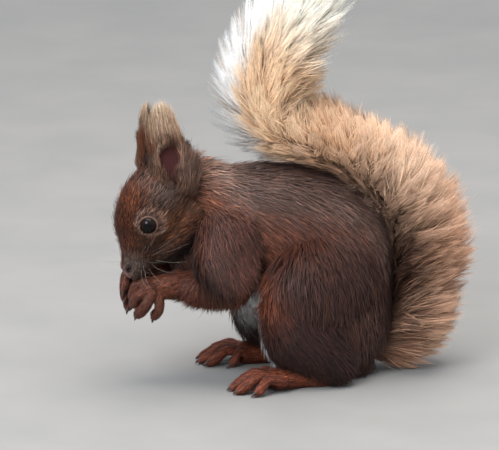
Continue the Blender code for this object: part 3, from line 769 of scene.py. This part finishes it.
def coat_mesh(name, material, roots, normals, flow, length, width, height, uv,
              root_hue, ring_hue, tip_hue, arch=0.8, swell=0.42, glow=0.0):
    """Closed spindles as one piece: a root point, a ring where the tuft is widest, and a tip.

    arch: the ring's share of the tip's height. swell: its share of the length.
    glow: how far the shading turns to the light, as in hair that light passes through.
    """
    n = len(roots)
    side = unit(np.cross(flow, normals))
    lift = np.arctan2(height, length)
    way = flow * np.cos(lift)[:, None] + normals * np.sin(lift)[:, None]
    over = np.cross(side, way)
    middle = roots + flow * (swell * length)[:, None] + normals * (arch * height)[:, None]
    parts = [roots - normals * 0.35 - flow * 0.2]
    for a, b in RING:
        parts.append(
            middle + side * (a * 0.5 * width)[:, None] + over * (b * 0.5 * THICK * width)[:, None]
        )
    parts.append(roots + flow * length[:, None] + normals * height[:, None])
    k = len(parts)
    points = np.stack(parts, 1).reshape(-1, 3)
    points[:, 2] = np.maximum(points[:, 2], TUFT_FLOOR)
    faces = (np.arange(n)[:, None, None] * k + SPINDLE).reshape(-1, 3)
    across = np.tile([0.0, 1.0, -1.0, 0.0, 0.0], n)
    along = np.tile([0.0, 0.5, 0.5, 0.5, 1.0], n)
    bulge = unit(np.repeat(over, k, 0) * 0.8 + np.repeat(side, k, 0) * across[:, None] * 0.5)
    shade = unit(0.75 * np.repeat(normals, k, 0) + 0.45 * bulge + glow * np.array(TO_LIGHT))
    places = np.repeat(uv, k, 0) + np.stack([across * 0.5 * PATCH, along * PATCH], 1)
    mesh = bpy.data.meshes.new(name)
    mesh.vertices.add(len(points))
    mesh.vertices.foreach_set("co", ((points + SHIFT) * MM).astype(np.float32).ravel())
    mesh.loops.add(len(faces) * 3)
    mesh.loops.foreach_set("vertex_index", faces.astype(np.int32).ravel())
    mesh.polygons.add(len(faces))
    mesh.polygons.foreach_set("loop_start", np.arange(0, len(faces) * 3, 3, dtype=np.int32))
    mesh.update(calc_edges=True)
    smoothed(mesh)
    layer = mesh.uv_layers.new(name="OFBake")
    layer.uv.foreach_set("vector", places[faces.ravel()].astype(np.float32).ravel())
    paint(mesh, np.stack([root_hue, ring_hue, ring_hue, ring_hue, tip_hue], 1).reshape(-1, 3))
    mesh.normals_split_custom_set_from_vertices(shade.tolist())
    mesh.materials.append(material)
    coats.append(placed(name, mesh))


def paint(mesh, colour):
    attribute = mesh.color_attributes.new(name="Coat", type="FLOAT_COLOR", domain="POINT")
    rgba = np.ones((len(colour), 4), np.float32)
    rgba[:, :3] = colour
    attribute.data.foreach_set("color", rgba.ravel())


def nearest_of(centres, points):
    """The nearest of some centres to each point."""
    tree = KDTree(len(centres))
    for i, c in enumerate(centres):
        tree.insert(c, i)
    tree.balance()
    return centres[[tree.find(p)[1] for p in points]]


def aimed(root, normal, tip):
    """Flow, length and height of tufts that reach from their roots to their tips."""
    span = tip - root
    height = (span * normal).sum(1)
    flow = span - normal * height[:, None]
    flat = np.maximum(np.linalg.norm(flow, axis=1), 1e-3)
    return flow / flat[:, None], flat, height


# ---------------------------------------------------------------- materials

def nodes_of(name):
    material = bpy.data.materials.new(name)
    material.use_nodes = True
    tree = material.node_tree
    return material, tree, tree.nodes["Principled BSDF"]


def noise(tree, size_mm):
    """A noise texture in the animal's own space, features about this size."""
    place = tree.nodes.new("ShaderNodeTexCoord")
    texture = tree.nodes.new("ShaderNodeTexNoise")
    texture.inputs["Scale"].default_value = 1.0 / (size_mm * MM)
    texture.inputs["Detail"].default_value = 3.0
    texture.inputs["Roughness"].default_value = 0.55
    tree.links.new(place.outputs["Object"], texture.inputs["Vector"])
    return texture.outputs["Fac"]


def curve(tree, value, low, high, out_low, out_high):
    """Value mapped from one range to another, held at the ends."""
    node = tree.nodes.new("ShaderNodeMapRange")
    for socket, number in zip(node.inputs[1:5], (low, high, out_low, out_high)):
        socket.default_value = number
    tree.links.new(value, node.inputs[0])
    return node.outputs[0]


def bump(tree, shader, value, depth_mm):
    node = tree.nodes.new("ShaderNodeBump")
    node.inputs["Distance"].default_value = depth_mm * MM
    tree.links.new(value, node.inputs["Height"])
    tree.links.new(node.outputs["Normal"], shader.inputs["Normal"])


def coat_paint(name, rough, fine_mm, depth_mm, sheen):
    """Paint of skin or tufts: the coat colour, mottled by noise, with hair-fine bump."""
    material, tree, shader = nodes_of(name)
    base = tree.nodes.new("ShaderNodeVertexColor")
    base.layer_name = "Coat"
    fine = noise(tree, fine_mm)
    broad = noise(tree, fine_mm * 7)
    lightness = times(
        tree, curve(tree, fine, 0.3, 0.7, 0.82, 1.18), curve(tree, broad, 0.3, 0.7, 0.88, 1.12)
    )
    tint = tree.nodes.new("ShaderNodeVectorMath")
    tint.operation = "SCALE"
    tree.links.new(base.outputs["Color"], tint.inputs[0])
    tree.links.new(lightness, tint.inputs["Scale"])
    tree.links.new(tint.outputs[0], shader.inputs["Base Color"])
    tree.links.new(curve(tree, broad, 0.3, 0.7, rough - 0.08, rough + 0.08), shader.inputs["Roughness"])
    shader.inputs["Specular IOR Level"].default_value = 0.22
    shader.inputs["Sheen Weight"].default_value = sheen
    shader.inputs["Sheen Roughness"].default_value = 0.5
    bump(tree, shader, fine, depth_mm)
    return material


def mixed(tree, shader, low, high, amount):
    """Joins two colours, mixed by an amount, to a shader's base colour."""
    blend = tree.nodes.new("ShaderNodeMix")
    blend.data_type = "RGBA"
    blend.inputs["A"].default_value = (*low, 1)
    blend.inputs["B"].default_value = (*high, 1)
    tree.links.new(amount, blend.inputs["Factor"])
    tree.links.new(blend.outputs["Result"], shader.inputs["Base Color"])


def times(tree, first, second):
    node = tree.nodes.new("ShaderNodeMath")
    node.operation = "MULTIPLY"
    tree.links.new(first, node.inputs[0])
    tree.links.new(second, node.inputs[1])
    return node.outputs[0]


def plain_paint(name, low, high, size_mm, rough, depth_mm, specular=0.5):
    """Horn, whiskers or floor: two colours mixed by noise, with a fine bump."""
    material, tree, shader = nodes_of(name)
    value = noise(tree, size_mm)
    mixed(tree, shader, low, high, curve(tree, value, 0.35, 0.65, 0, 1))
    tree.links.new(curve(tree, value, 0.3, 0.7, rough, rough * 1.25), shader.inputs["Roughness"])
    shader.inputs["Specular IOR Level"].default_value = specular
    bump(tree, shader, value, depth_mm)
    return material


skin_paint = coat_paint("skin_and_underfur", 0.72, 0.5, 0.12, 0.03)
coat_hair = coat_paint("guard_hair", 0.55, 0.6, 0.05, 0.05)
tail_hair = coat_paint("tail_hair", 0.50, 0.8, 0.05, 0.10)
horn = plain_paint("claw_horn", linear(34, 26, 24), linear(70, 54, 46), 0.8, 0.32, 0.05)
whisker_horn = plain_paint("whisker_hair", linear(120, 104, 90), linear(176, 160, 144), 3.0, 0.4, 0.02)

# ---------------------------------------------------------------- the skin

skin, forms = build_skin()
tail_core = forms[-1]

verts = points_of(skin.data)
edges = read(skin.data.edges, "vertices", 2, np.int32)
soft_normals = unit(relax(read(skin.data.vertices, "normal", 3).astype(float), edges, 4))
lie, kind, share, dorsal = survey(verts, soft_normals, forms)
lie = relax(lie, edges, 25)
lie = unit(lie - soft_normals * (lie * soft_normals).sum(1)[:, None])
kind = relax(kind, edges, 8)
dorsal = relax(dorsal[:, None], edges, 10)[:, 0]
regions = sorted(share)
share = dict(zip(regions, relax(np.stack([share[r] for r in regions], 1), edges, 10).T))
tone = markings_with_painted_shade_and_sheen(verts, soft_normals, share, dorsal)
# bare skin in the ears' hollows, and how pale the edge of each hollow is; the far ear's edge is kept
# dull, a painted shade
hollow, lip = np.zeros(len(verts)), np.zeros(len(verts))
for ear_side, pale in (("left", 0.8), ("right", 0.2)):
    u, v, w = ear_places(verts, ear_side)
    inside = (bowl_place(u, v) < 1) | (canal_place(u, v) < 1)
    on_leaf = (w > -2.2) * (w < 3.4) * (share["ear"] > 0.3)
    hollow = np.maximum(hollow, inside * on_leaf)
    edge = blob((np.sqrt(bowl_place(u, v)), 1.10, 0.09))
    lip = np.maximum(lip, pale * edge * on_leaf * step(-2, 2, v) * step(4, 9, u))
hollow = relax(hollow[:, None], edges, 3)[:, 0]
tone = painted(tone, (EAR_SKIN, hollow), (EAR_RIM, lip))
# under the tufts the skin is darker than the coat
paint(skin.data, tone * (0.62 + 0.38 * np.maximum(hollow, bare(verts, share)))[:, None])
smoothed(skin.data)
with bpy.context.temp_override(active_object=skin, object=skin, selected_objects=[skin],
                               selected_editable_objects=[skin]):
    bpy.context.view_layer.objects.active = skin
    skin.select_set(True)
    bpy.ops.object.mode_set(mode="EDIT")
    bpy.ops.mesh.select_all(action="SELECT")
    bpy.ops.uv.smart_project(angle_limit=math.radians(80), island_margin=0.001)
    bpy.ops.object.mode_set(mode="OBJECT")
skin.data.uv_layers[0].name = "OFBake"
skin.data.materials.append(skin_paint)

# ---------------------------------------------------------------- the coat's roots

skin.data.calc_loop_triangles()
corner = read(skin.data.loop_triangles, "vertices", 3, np.int32)
corner_loop = read(skin.data.loop_triangles, "loops", 3, np.int32)
area = read(skin.data.loop_triangles, "area", 1)[:, 0].astype(float) / MM**2
uv = read(skin.data.uv_layers["OFBake"].uv, "vector", 2)

naked = np.maximum(bare(verts, share), step(0.25, 0.45, share["tail_core"]))
naked = np.maximum(naked, step(0.9, 0.5, verts[:, 2]) * step(-0.5, -0.8, soft_normals[:, 2]))
# how many tufts lie over each spot of the body, and over paws, face and ears
LAYERS = 7.0
OTHER_LAYERS = ((PAWS, 1.8), (SKULL, 5.0), (("ear",), 6.0))
layers = LAYERS
for regions, own_layers in OTHER_LAYERS:
    layers = layers + (own_layers - LAYERS) * np.clip(part(share, regions), 0, 1)
density = layers / (kind[:, 0] * kind[:, 1] / 2) * (1 - naked)
weight = area * density[corner].mean(1)


def rooted(weight, count):
    """About `count` roots, spread evenly by a weight of each triangle.

    Returns a reader of vertex values at the roots, and the roots' points, normals and UVs.
    """
    edges = np.cumsum(weight)
    picks = (np.arange(count) + chance.random(count)) / count * edges[-1]
    face = np.clip(np.searchsorted(edges, picks), 0, len(weight) - 1)
    r1, r2 = np.sqrt(chance.random(count)), chance.random(count)
    place = np.stack([1 - r1, r1 * (1 - r2), r1 * r2], 1)[:, :, None]

    def at(values):
        return (values[corner[face]] * place).sum(1)

    return at, at(verts), unit(at(soft_normals)), (uv[corner_loop[face]] * place).sum(1)


at, root, normal, root_uv = rooted(weight, int(weight.sum()))
flow, style, colour = at(lie), at(kind), at(tone)
head_share = at(part(share, SKULL)[:, None])[:, 0]
region = {r: at(share[r][:, None])[:, 0] for r in share}
n = len(root)

# hairs stray from the lie, and gather in locks
CLUMP = 2.4
centres = root[chance.permutation(n)[: n // 12]]
gather = nearest_of(centres, root) - root
gather -= normal * (gather * normal).sum(1)[:, None]
across = np.cross(normal, flow)
stray = chance.normal(0, 0.12, n) + 0.15 * ripple(root, 9)
flow = unit(flow + across * stray[:, None])
length = style[:, 0] * np.clip(1 + chance.normal(0, 0.18, n), 0.55, 1.5)
width = style[:, 1] * np.clip(1 + chance.normal(0, 0.2, n), 0.6, 1.5)
height = style[:, 2] * np.clip(0.86 + chance.normal(0, 0.22, n), 0.3, 1.35)
# longer hair on the nape, under the arms, behind the ears and on the haunch, and some flyaways
nape = blob((root[:, 0], -57, 9), (root[:, 2], 104, 8))
fringe = part(region, ("forearm", "upper_arm", "chest")) * step(-0.1, -0.7, normal[:, 2])
length *= 1 + 0.5 * nape + 0.4 * fringe
height += 3.6 * nape + 1.8 * fringe
for ear_side in BOTH:
    u, v, _ = ear_places(root, ear_side)
    behind = (root[:, 1] < 0) == (ear_side == "left")
    behind = behind * region["ear"] * step(24, 8, u) * step(-5, -8.5, v)
    length *= 1 + 0.6 * behind
    height += 2.4 * behind
    colour = painted(colour, (NAPE, 0.9 * behind))
seam = region["thigh"] * blob((root[:, 2], 46, 6))
length *= 1 + 0.5 * seam
wild = chance.random(n) < 0.03 + 0.06 * head_share
length[wild] *= 1.25
height[wild] *= 1.35 + 0.5 * head_share[wild]
clump = gather * np.where(np.linalg.norm(gather, axis=1) < CLUMP, 0.5, 0.0)[:, None]
flow = unit(flow * length[:, None] + clump * np.clip(length / 5, 0, 1)[:, None])
lightness = np.exp(chance.normal(0, 0.34, n) + 0.12 * ripple(root, 5, 3))
agouti = 1 + head_share * (chance.choice((0.5, 1.0, 1.5), n, p=(0.28, 0.50, 0.22)) - 1)
warm = chance.normal(0, 0.08, n)
tint = np.stack([1 + warm, np.ones(n), 1 - warm], 1)
own = colour * (lightness * agouti)[:, None] * tint
# hair tips paler than their roots, with a painted highlight, the glint, added to them
glint = chance.uniform(0.2, 1.0, n)[:, None]
hues = (
    own * 0.32, np.clip(own * (0.90, 0.84, 0.78), 0, 0.9),
    np.clip(own * 1.40 + (0.045, 0.040, 0.038) * glint * colour.mean(1)[:, None] / 0.08, 0, 0.9),
)

left = root[:, 1] < 0
fore = root[:, 0] < -22
ear_part = region["ear"] > 0.5
paw = part(region, PAWS) > 0.5
hand = paw & fore & (root[:, 2] > 22)
on_head = (head_share > 0.5) & ~ear_part & ~paw
face_part = on_head & (to_head(root)[:, 0] > 24)
rest = ~(on_head | ear_part | paw)
pieces = {
    "coat_face": face_part, "coat_crown": on_head & ~face_part, "coat_ears": ear_part,
    "coat_hands": hand, "coat_feet": paw & ~hand,
    "coat_fore_left": rest & fore & left, "coat_fore_right": rest & fore & ~left,
    "coat_rear_left": rest & ~fore & left, "coat_rear_right": rest & ~fore & ~left,
}
tufts = (root, normal, flow, length, width, height, root_uv, *hues)
for name, mask in pieces.items():
    coat_mesh(name, coat_hair, *(values[mask] for values in tufts))

# ---------------------------------------------------------------- the tail

ENVELOPE = Form(TAIL, "tail")
STRANDS = 80000
COMB = 0.75
FLYAWAY = 0.13
LOCK = 70
# piece: how far its shading turns to the light
TAIL_PIECES = {
    "coat_tail_base": 0.55, "coat_tail_lower": 0.60, "coat_tail_upper": 0.75, "coat_tail_tip": 0.75,
}
# share along the tail: colours of a hair's tip outside, its tip on the inner side, its middle, its root
# paler towards the top of the tail and its inner edge, partly the hair's own blond and white and partly
# painted light shining through the hair; darkest on the inner side and at the roots low on the tail, a
# painted shade
TAIL_SHARES = (0.0, 0.28, 0.44, 0.6, 0.7, 0.83, 0.95)
TAIL_TIPS = shades(
    (216, 174, 144), (218, 168, 134), (236, 198, 170), (232, 188, 152), (240, 200, 164),
    (234, 196, 158), (255, 248, 236),
)
TAIL_INNER = shades(
    (64, 42, 32), (36, 20, 14), (156, 120, 98), (126, 90, 66), (250, 245, 241), (252, 248, 245),
    (252, 248, 244),
)
TAIL_MIDDLES = shades(
    (156, 114, 88), (118, 73, 48), (212, 172, 138), (196, 146, 106), (220, 176, 136),
    (212, 170, 132), (252, 236, 214),
)
TAIL_ROOTS = shades(
    (40, 23, 16), (30, 16, 11), (128, 86, 62), (120, 78, 54), (176, 136, 106), (184, 144, 112),
    (232, 206, 176),
)


def travelled(form):
    """Distance along a form's axis to each of its samples."""
    return np.concatenate([[0], np.cumsum(np.linalg.norm(np.diff(form.at, axis=0), axis=1))])


def along_form(form, t):
    """Centre, side, rise, size and way of a form at shares of its length."""
    reached = travelled(form)
    return [
        np.stack([np.interp(t * reached[-1], reached, column) for column in values.T], 1)
        for values in (form.at, form.side, form.rise, form.size, form.way)
    ]


def nearest_share(form, points):
    """Share along a form's axis nearest to each point."""
    reached = travelled(form)
    gaps = np.stack([np.linalg.norm(points - sample, axis=1) for sample in form.at])
    return reached[gaps.argmin(0)] / reached[-1]


def tail_colour(table, shares):
    return np.stack([np.interp(shares, TAIL_SHARES, column) for column in table.T], 1)


_, root, normal, root_uv = rooted(
    area * step(0.2, 0.5, share["tail_core"])[corner].mean(1), STRANDS
)
n = len(root)
core_share = nearest_share(tail_core, root) + chance.normal(0, 0.008, n)
lag = 0.055 + 0.050 * core_share + 0.03 * chance.random(n)
beyond = np.clip(core_share * 0.93 + lag + chance.normal(0, 0.014, n), 0, 1)
centre, side, rise, size, way = along_form(ENVELOPE, beyond)
turn = np.arctan2((normal * rise).sum(1), (normal * side).sum(1))
turn = turn + chance.normal(0, 0.22, n) + 0.16 * ripple(root, 14)
turn = turn - COMB * step(0.72, 0.45, core_share) * np.cos(turn)
flyaway = chance.random(n) < FLYAWAY
reach = np.where(flyaway, chance.uniform(1.0, 1.22, n), 0.88 + chance.normal(0, 0.13, n))
reach = reach + 0.17 * ripple(root, 12, 9) + 0.09 * ripple(root, 5, 4)
reach = reach - 0.20 * blob((core_share, 0.13, 0.022)) * (np.sin(turn) < 0)
reach = np.clip(reach, 0.40, 1.24 - 0.2 * step(0.72, 0.9, core_share))
fringe = step(0.0, 0.5, np.sin(turn)) * step(0.42, 0.5, beyond) * step(0.9, 0.8, beyond)
reach = np.minimum(reach, 1.24 - 0.22 * fringe)
tip = (
    centre + side * (np.cos(turn) * size[:, 0] * reach)[:, None]
    + rise * (np.sin(turn) * size[:, 1] * reach)[:, None]
)
end = step(0.88, 1.0, beyond)
tip += way * (end * chance.uniform(-4, 13, n))[:, None]
leads = chance.permutation(n)[: n // LOCK]
wisp = np.minimum(chance.exponential(4.2, len(leads)), 12) * step(0.95, 0.75, core_share[leads])
wisp = wisp * (1 - 0.8 * step(0.0, 0.5, np.sin(turn[leads])) * step(0.4, 0.5, core_share[leads]))
locks = tip[leads] + unit(tip[leads] - root[leads]) * wisp[:, None]
gather = np.where(flyaway, 0.1, chance.uniform(0.35, 1.0, n))[:, None]
tip = tip + (nearest_of(locks, tip) - tip) * gather
normal = unit(normal + 0.25 * way)
flow, length, height = aimed(root, normal, tip)
lightness = np.exp(chance.normal(0, 0.16, n) + 0.10 * ripple(tip, 8, 3))
outer = step(0.45, -0.50, np.sin(turn) + 0.15 * ripple(root, 10, 2))
outer = np.maximum(outer, step(0.5, 0.7, beyond) * step(1.0, 0.65, np.sin(turn)))
inner = 1 - outer
tipped = painted(tail_colour(TAIL_INNER, beyond), (tail_colour(TAIL_TIPS, beyond), outer))
middles = painted(tail_colour(TAIL_MIDDLES, beyond), (tipped, 0.8 * inner))
feet = painted(tail_colour(TAIL_ROOTS, core_share), (tipped, 0.7 * inner * step(0.5, 0.65, core_share)))
hues = [np.clip(hue * lightness[:, None], 0, 0.93) for hue in (feet, middles, tipped)]
width = np.clip(0.35 + chance.normal(0, 0.09, n), 0.2, 0.7) * np.where(flyaway, 0.65, 1.0)
quarter = np.searchsorted(np.quantile(core_share, (0.25, 0.5, 0.75)), core_share)
tufts = (root, normal, flow, length, width, height, root_uv, *hues)
for i, (name, glow) in enumerate(TAIL_PIECES.items()):
    coat_mesh(name, tail_hair, *(values[quarter == i] for values in tufts), 0.66, 0.52, glow)

# ---------------------------------------------------------------- ear tufts and whiskers

EAR_STRANDS = 4500
WISP = 40
TUFT_TIP, TUFT_GOLD = linear(116, 68, 44), linear(246, 210, 174)
TUFT_FOOT, TUFT_MIDDLE = linear(56, 36, 28), linear(84, 50, 36)
# ear: how far its tuft leans forward, how much of its foot's width it keeps, and how dark its roots and
# middles are painted, a painted shade on the far ear
EAR_LEAN = {"left": (3.4, 0.90, 1.0), "right": (-5.0, 0.60, 0.5)}
ear_area = area * (1 - hollow[corner].mean(1)) * (share["ear"][corner].mean(1) > 0.5)
for ear_side, (lean, keep, shade) in EAR_LEAN.items():
    ear_foot, up, across, out, tall = ear_frame(ear_side)
    u, v, w = ear_places(verts[corner].mean(1), ear_side)
    rim = step(2, 14, u) * (np.abs(v) < 14) * (np.abs(w) < 12)
    rim = rim * (1 - step(0, 1, w) * step(12, 9, u) * (np.abs(v + 1.5) < 6))
    rim = rim * np.where(w < 0.3, np.maximum(step(6.5, 7.8, v), 0.25 * step(22, 28, u)), 1.0)
    _, root, normal, root_uv = rooted(ear_area * rim, EAR_STRANDS)
    n = len(root)
    u, v, w = ear_places(root, ear_side)
    top = tall * (1.0 - 0.0022 * v**2) * (1.04 - 0.34 * chance.random(n) ** 1.6)
    rise_to = np.minimum(u + chance.uniform(8, 17, n) + 5 * step(8, 22, u), top)
    spread = v * (keep - 0.10 * step(20, 40, rise_to)) + lean * step(6, 38, rise_to)
    spread = spread + chance.normal(0, 1.2, n)
    outward = w * 0.4 + 0.8 + chance.normal(0, 1.0, n)
    tip = from_head(
        ear_foot + rise_to[:, None] * up + spread[:, None] * across + outward[:, None] * out, ear_side
    )
    wisps = tip[chance.permutation(n)[: n // WISP]]
    tip = tip + (nearest_of(wisps, tip) - tip) * chance.uniform(0.0, 0.35, n)[:, None]
    flow, length, height = aimed(root, normal, tip)
    lightness = np.exp(chance.normal(0, 0.28, n))[:, None]
    tips = painted(TUFT_TIP, (TUFT_GOLD, step(24, 38, rise_to) * chance.uniform(0.4, 1.0, n)))
    middles = 0.45 * tips + 0.55 * TUFT_MIDDLE
    # the far ear's roots and middles darkened, a painted shade
    hues = [np.clip(h * lightness, 0, 0.9) for h in (shade * TUFT_FOOT, shade * middles, tips)]
    width = np.clip(0.20 + chance.normal(0, 0.04, n), 0.13, 0.35)
    coat_mesh(
        "coat_tuft_" + ear_side, coat_hair, root, normal, flow, length, width, height, root_uv,
        *hues, 0.7,
    )


def tube(path, radii, sides):
    """(points, faces) of a closed tapering tube."""
    way = unit(np.gradient(path, axis=0))
    side = unit(np.cross(way, (0.12, 0.31, 0.94)))
    rise = np.cross(way, side)
    turn = np.linspace(0, 2 * np.pi, sides, endpoint=False)[:, None]
    return closed([
        p + np.cos(turn) * s * r + np.sin(turn) * q * r for p, s, q, r in zip(path, side, rise, radii)
    ])


def piece(name, parts, material):
    """A finished object of closed (points, faces) parts."""
    made = joined(name, parts)
    made.data.validate()
    work = bmesh.new()
    work.from_mesh(made.data)
    bmesh.ops.recalc_face_normals(work, faces=work.faces)
    work.to_mesh(made.data)
    work.free()
    smoothed(made.data)
    made.data.materials.append(material)
    return made


WHISKER_ROWS, WHISKERS_A_ROW = 3, 5
hairs = []
for hair_side in BOTH:
    for row in range(WHISKER_ROWS):
        for column in range(WHISKERS_A_ROW):
            start = np.array([48.8 - 2.0 * column, 4.9 + 0.35 * column, -4.4 - 1.9 * row])
            fan = np.array([0.75 - 0.30 * column, 0.85, 0.60 - 0.42 * row])
            fan = unit(unit(fan) + chance.normal(0, 0.07, 3))
            long = 27 - 1.5 * row - 1.2 * column + chance.uniform(-3, 2)
            t = np.linspace(0, 1, 9)
            droop = np.array([-0.30, 0.0, -0.12])
            path = start + fan * (t * long)[:, None] + droop * (t**2 * long)[:, None]
            hairs.append(tube(from_head(path, hair_side), 0.075 * (1 - 0.75 * t), 5))
whiskers = piece("whiskers", hairs, whisker_horn)

# ---------------------------------------------------------------- eyes

EYE_RINGS, EYE_SIDES = 28, 40
EYE_BULGE = 0.28
angles = np.linspace(0.02, math.pi - 0.02, EYE_RINGS)
radii = EYE_RADIUS + EYE_BULGE * blob((angles, 0, 0.62))
side = unit(np.cross(EYE_WAY, (0, 0, 1.0)))
turn = np.linspace(0, 2 * np.pi, EYE_SIDES, endpoint=False)[:, None]
ring = np.cos(turn) * side + np.sin(turn) * np.cross(EYE_WAY, side)
ball, ball_faces = closed([
    EYE_AT + EYE_WAY * (r * math.cos(a)) + r * math.sin(a) * ring for a, r in zip(angles, radii)
])

eye_paint, tree, shader = nodes_of("eye")
ring_value = tree.nodes.new("ShaderNodeAttribute")
ring_value.attribute_name = "ring"
grain = noise(tree, 0.5)
browner = times(
    tree, curve(tree, ring_value.outputs["Fac"], 0.40, 0.62, 0, 1), curve(tree, grain, 0.3, 0.7, 0.4, 1.0)
)
mixed(tree, shader, linear(8, 6, 6), linear(34, 20, 14), browner)
shader.inputs["Roughness"].default_value = 0.04
shader.inputs["Specular IOR Level"].default_value = 0.17
bump(tree, shader, grain, 0.01)
eyes = []
for eye_side in BOTH:
    made = piece("eye_" + eye_side, [(from_head(ball, eye_side), ball_faces)], eye_paint)
    value = made.data.attributes.new("ring", "FLOAT", "POINT")
    value.data.foreach_set("value", np.repeat(angles, EYE_SIDES).astype(np.float32))
    eyes.append(made)

# ---------------------------------------------------------------- claws

CLAW, CLAW_HOOK, CLAW_ARC = 4.2, 0.85, 0.75
CLAW_ROOT = 1.0


def claw(middle, tip, r):
    """A hooked horn claw from a digit's tip."""
    ahead = unit(tip - middle)
    start, end = tip - ahead * CLAW_ROOT, tip + ahead * CLAW - (0, 0, CLAW_HOOK)
    t = np.linspace(0, 1, 8)
    path = start + (end - start) * t[:, None]
    path[:, 2] += CLAW_ARC * np.sin(t * np.pi)
    return tube(path, r * 0.46 * (1 - t) ** 0.6 + 0.10, 8)


def moved(parts, matrix):
    m = np.array(matrix, float)
    return [(p @ m[:3, :3].T + m[:3, 3], f) for p, f in parts]


hand_claws = [claw(PALM + middle, PALM + tip, r) for _, middle, tip, r in FINGERS]
foot_claws = [claw(*toe(offset, TOE_ARCH * 0.3)[1:], r) for offset, r in TOES]
claws = []
for limb, parts, matrix in (("hand", hand_claws, RIGHT_ARM), ("foot", foot_claws, RIGHT_LEG)):
    claws.append(piece("claws_left_" + limb, parts, horn))
    claws.append(piece("claws_right_" + limb, moved(parts, matrix), horn))

# ---------------------------------------------------------------- bodies and nodes

FLESH = (
    "head", "neck", "trunk", "left_ear", "right_ear", "left_upper_arm", "right_upper_arm",
    "left_forearm", "right_forearm", "left_hand", "right_hand", "left_thigh", "right_thigh",
    "left_shank", "right_shank", "left_foot", "right_foot",
    "tail_base", "tail_lower", "tail_upper", "tail_tip",
)
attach(skin, "root")
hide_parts(*FLESH)
for made in coats:
    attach(made, "root")
    "tail_hair" if "tail" in made.name else "ear_hair" if "tuft" in made.name else "coat_brown"
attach(whiskers, "root")
for made, node in zip(eyes, ("left_eye", "right_eye")):
    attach(made, "root")
    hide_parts(node)
for made in claws:
    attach(made, "root")

# ---------------------------------------------------------------- stage, light and camera

floor_mesh = bpy.data.meshes.new("floor")
floor_mesh.from_pydata([(-4, -4, 0), (4, -4, 0), (4, 4, 0), (-4, 4, 0)], [], [(0, 1, 2, 3)])
floor_mesh.materials.append(
    plain_paint("floor", linear(140, 138, 134), linear(146, 143, 139), 60, 0.8, 0.01, 0.2)
)
placed("floor", floor_mesh)

world = bpy.data.worlds.new("studio")
world.use_nodes = True
background = world.node_tree.nodes["Background"]
background.inputs["Color"].default_value = (0.86, 0.91, 1.0, 1)
direction = world.node_tree.nodes.new("ShaderNodeTexCoord")
height_of = world.node_tree.nodes.new("ShaderNodeSeparateXYZ")
world.node_tree.links.new(direction.outputs["Generated"], height_of.inputs[0])
world.node_tree.links.new(
    curve(world.node_tree, height_of.outputs["Z"], 0.0, 0.9, 0.58, 1.15), background.inputs["Strength"]
)
bpy.context.scene.world = world


LIT = Vector((0, 0, 0.09))


def soft_light(name, place, width, watts, colour):
    data = bpy.data.lights.new(name, "AREA")
    data.shape = "DISK"
    data.size = width
    data.energy = watts
    data.color = colour
    made = placed(name, data)
    made.location = place
    made.rotation_euler = (LIT - Vector(place)).to_track_quat("-Z", "Y").to_euler()


soft_light("overhead", (0.10, -0.05, 1.25), 1.1, 17.0, (1.0, 0.98, 0.95))
soft_light("window", (-0.75, -0.9, 0.95), 0.70, 16.0, (0.86, 0.93, 1.0))

CAMERA_TURN, CAMERA_RISE = math.radians(-12), math.radians(14)
CAMERA_AWAY = 2.8
VIEW_WIDTH = 0.2495
LOOK_ACROSS, LOOK_UP = -25.25, 74.0
back = np.array([
    math.sin(CAMERA_TURN) * math.cos(CAMERA_RISE), -math.cos(CAMERA_TURN) * math.cos(CAMERA_RISE),
    math.sin(CAMERA_RISE),
])
right = np.array([math.cos(CAMERA_TURN), math.sin(CAMERA_TURN), 0.0])
up = np.cross(back, right)
aim = (right * LOOK_ACROSS + up * LOOK_UP + SHIFT) * MM
lens = bpy.data.cameras.new("camera")
lens.sensor_width = 36.0
lens.lens = lens.sensor_width * CAMERA_AWAY / VIEW_WIDTH
lens.clip_end = 20
camera = placed("camera", lens)
camera.location = aim + back * CAMERA_AWAY
camera.rotation_euler = Vector(back).to_track_quat("Z", "Y").to_euler()
bpy.context.scene.camera = camera
bpy.context.scene.view_settings.view_transform = "Standard"
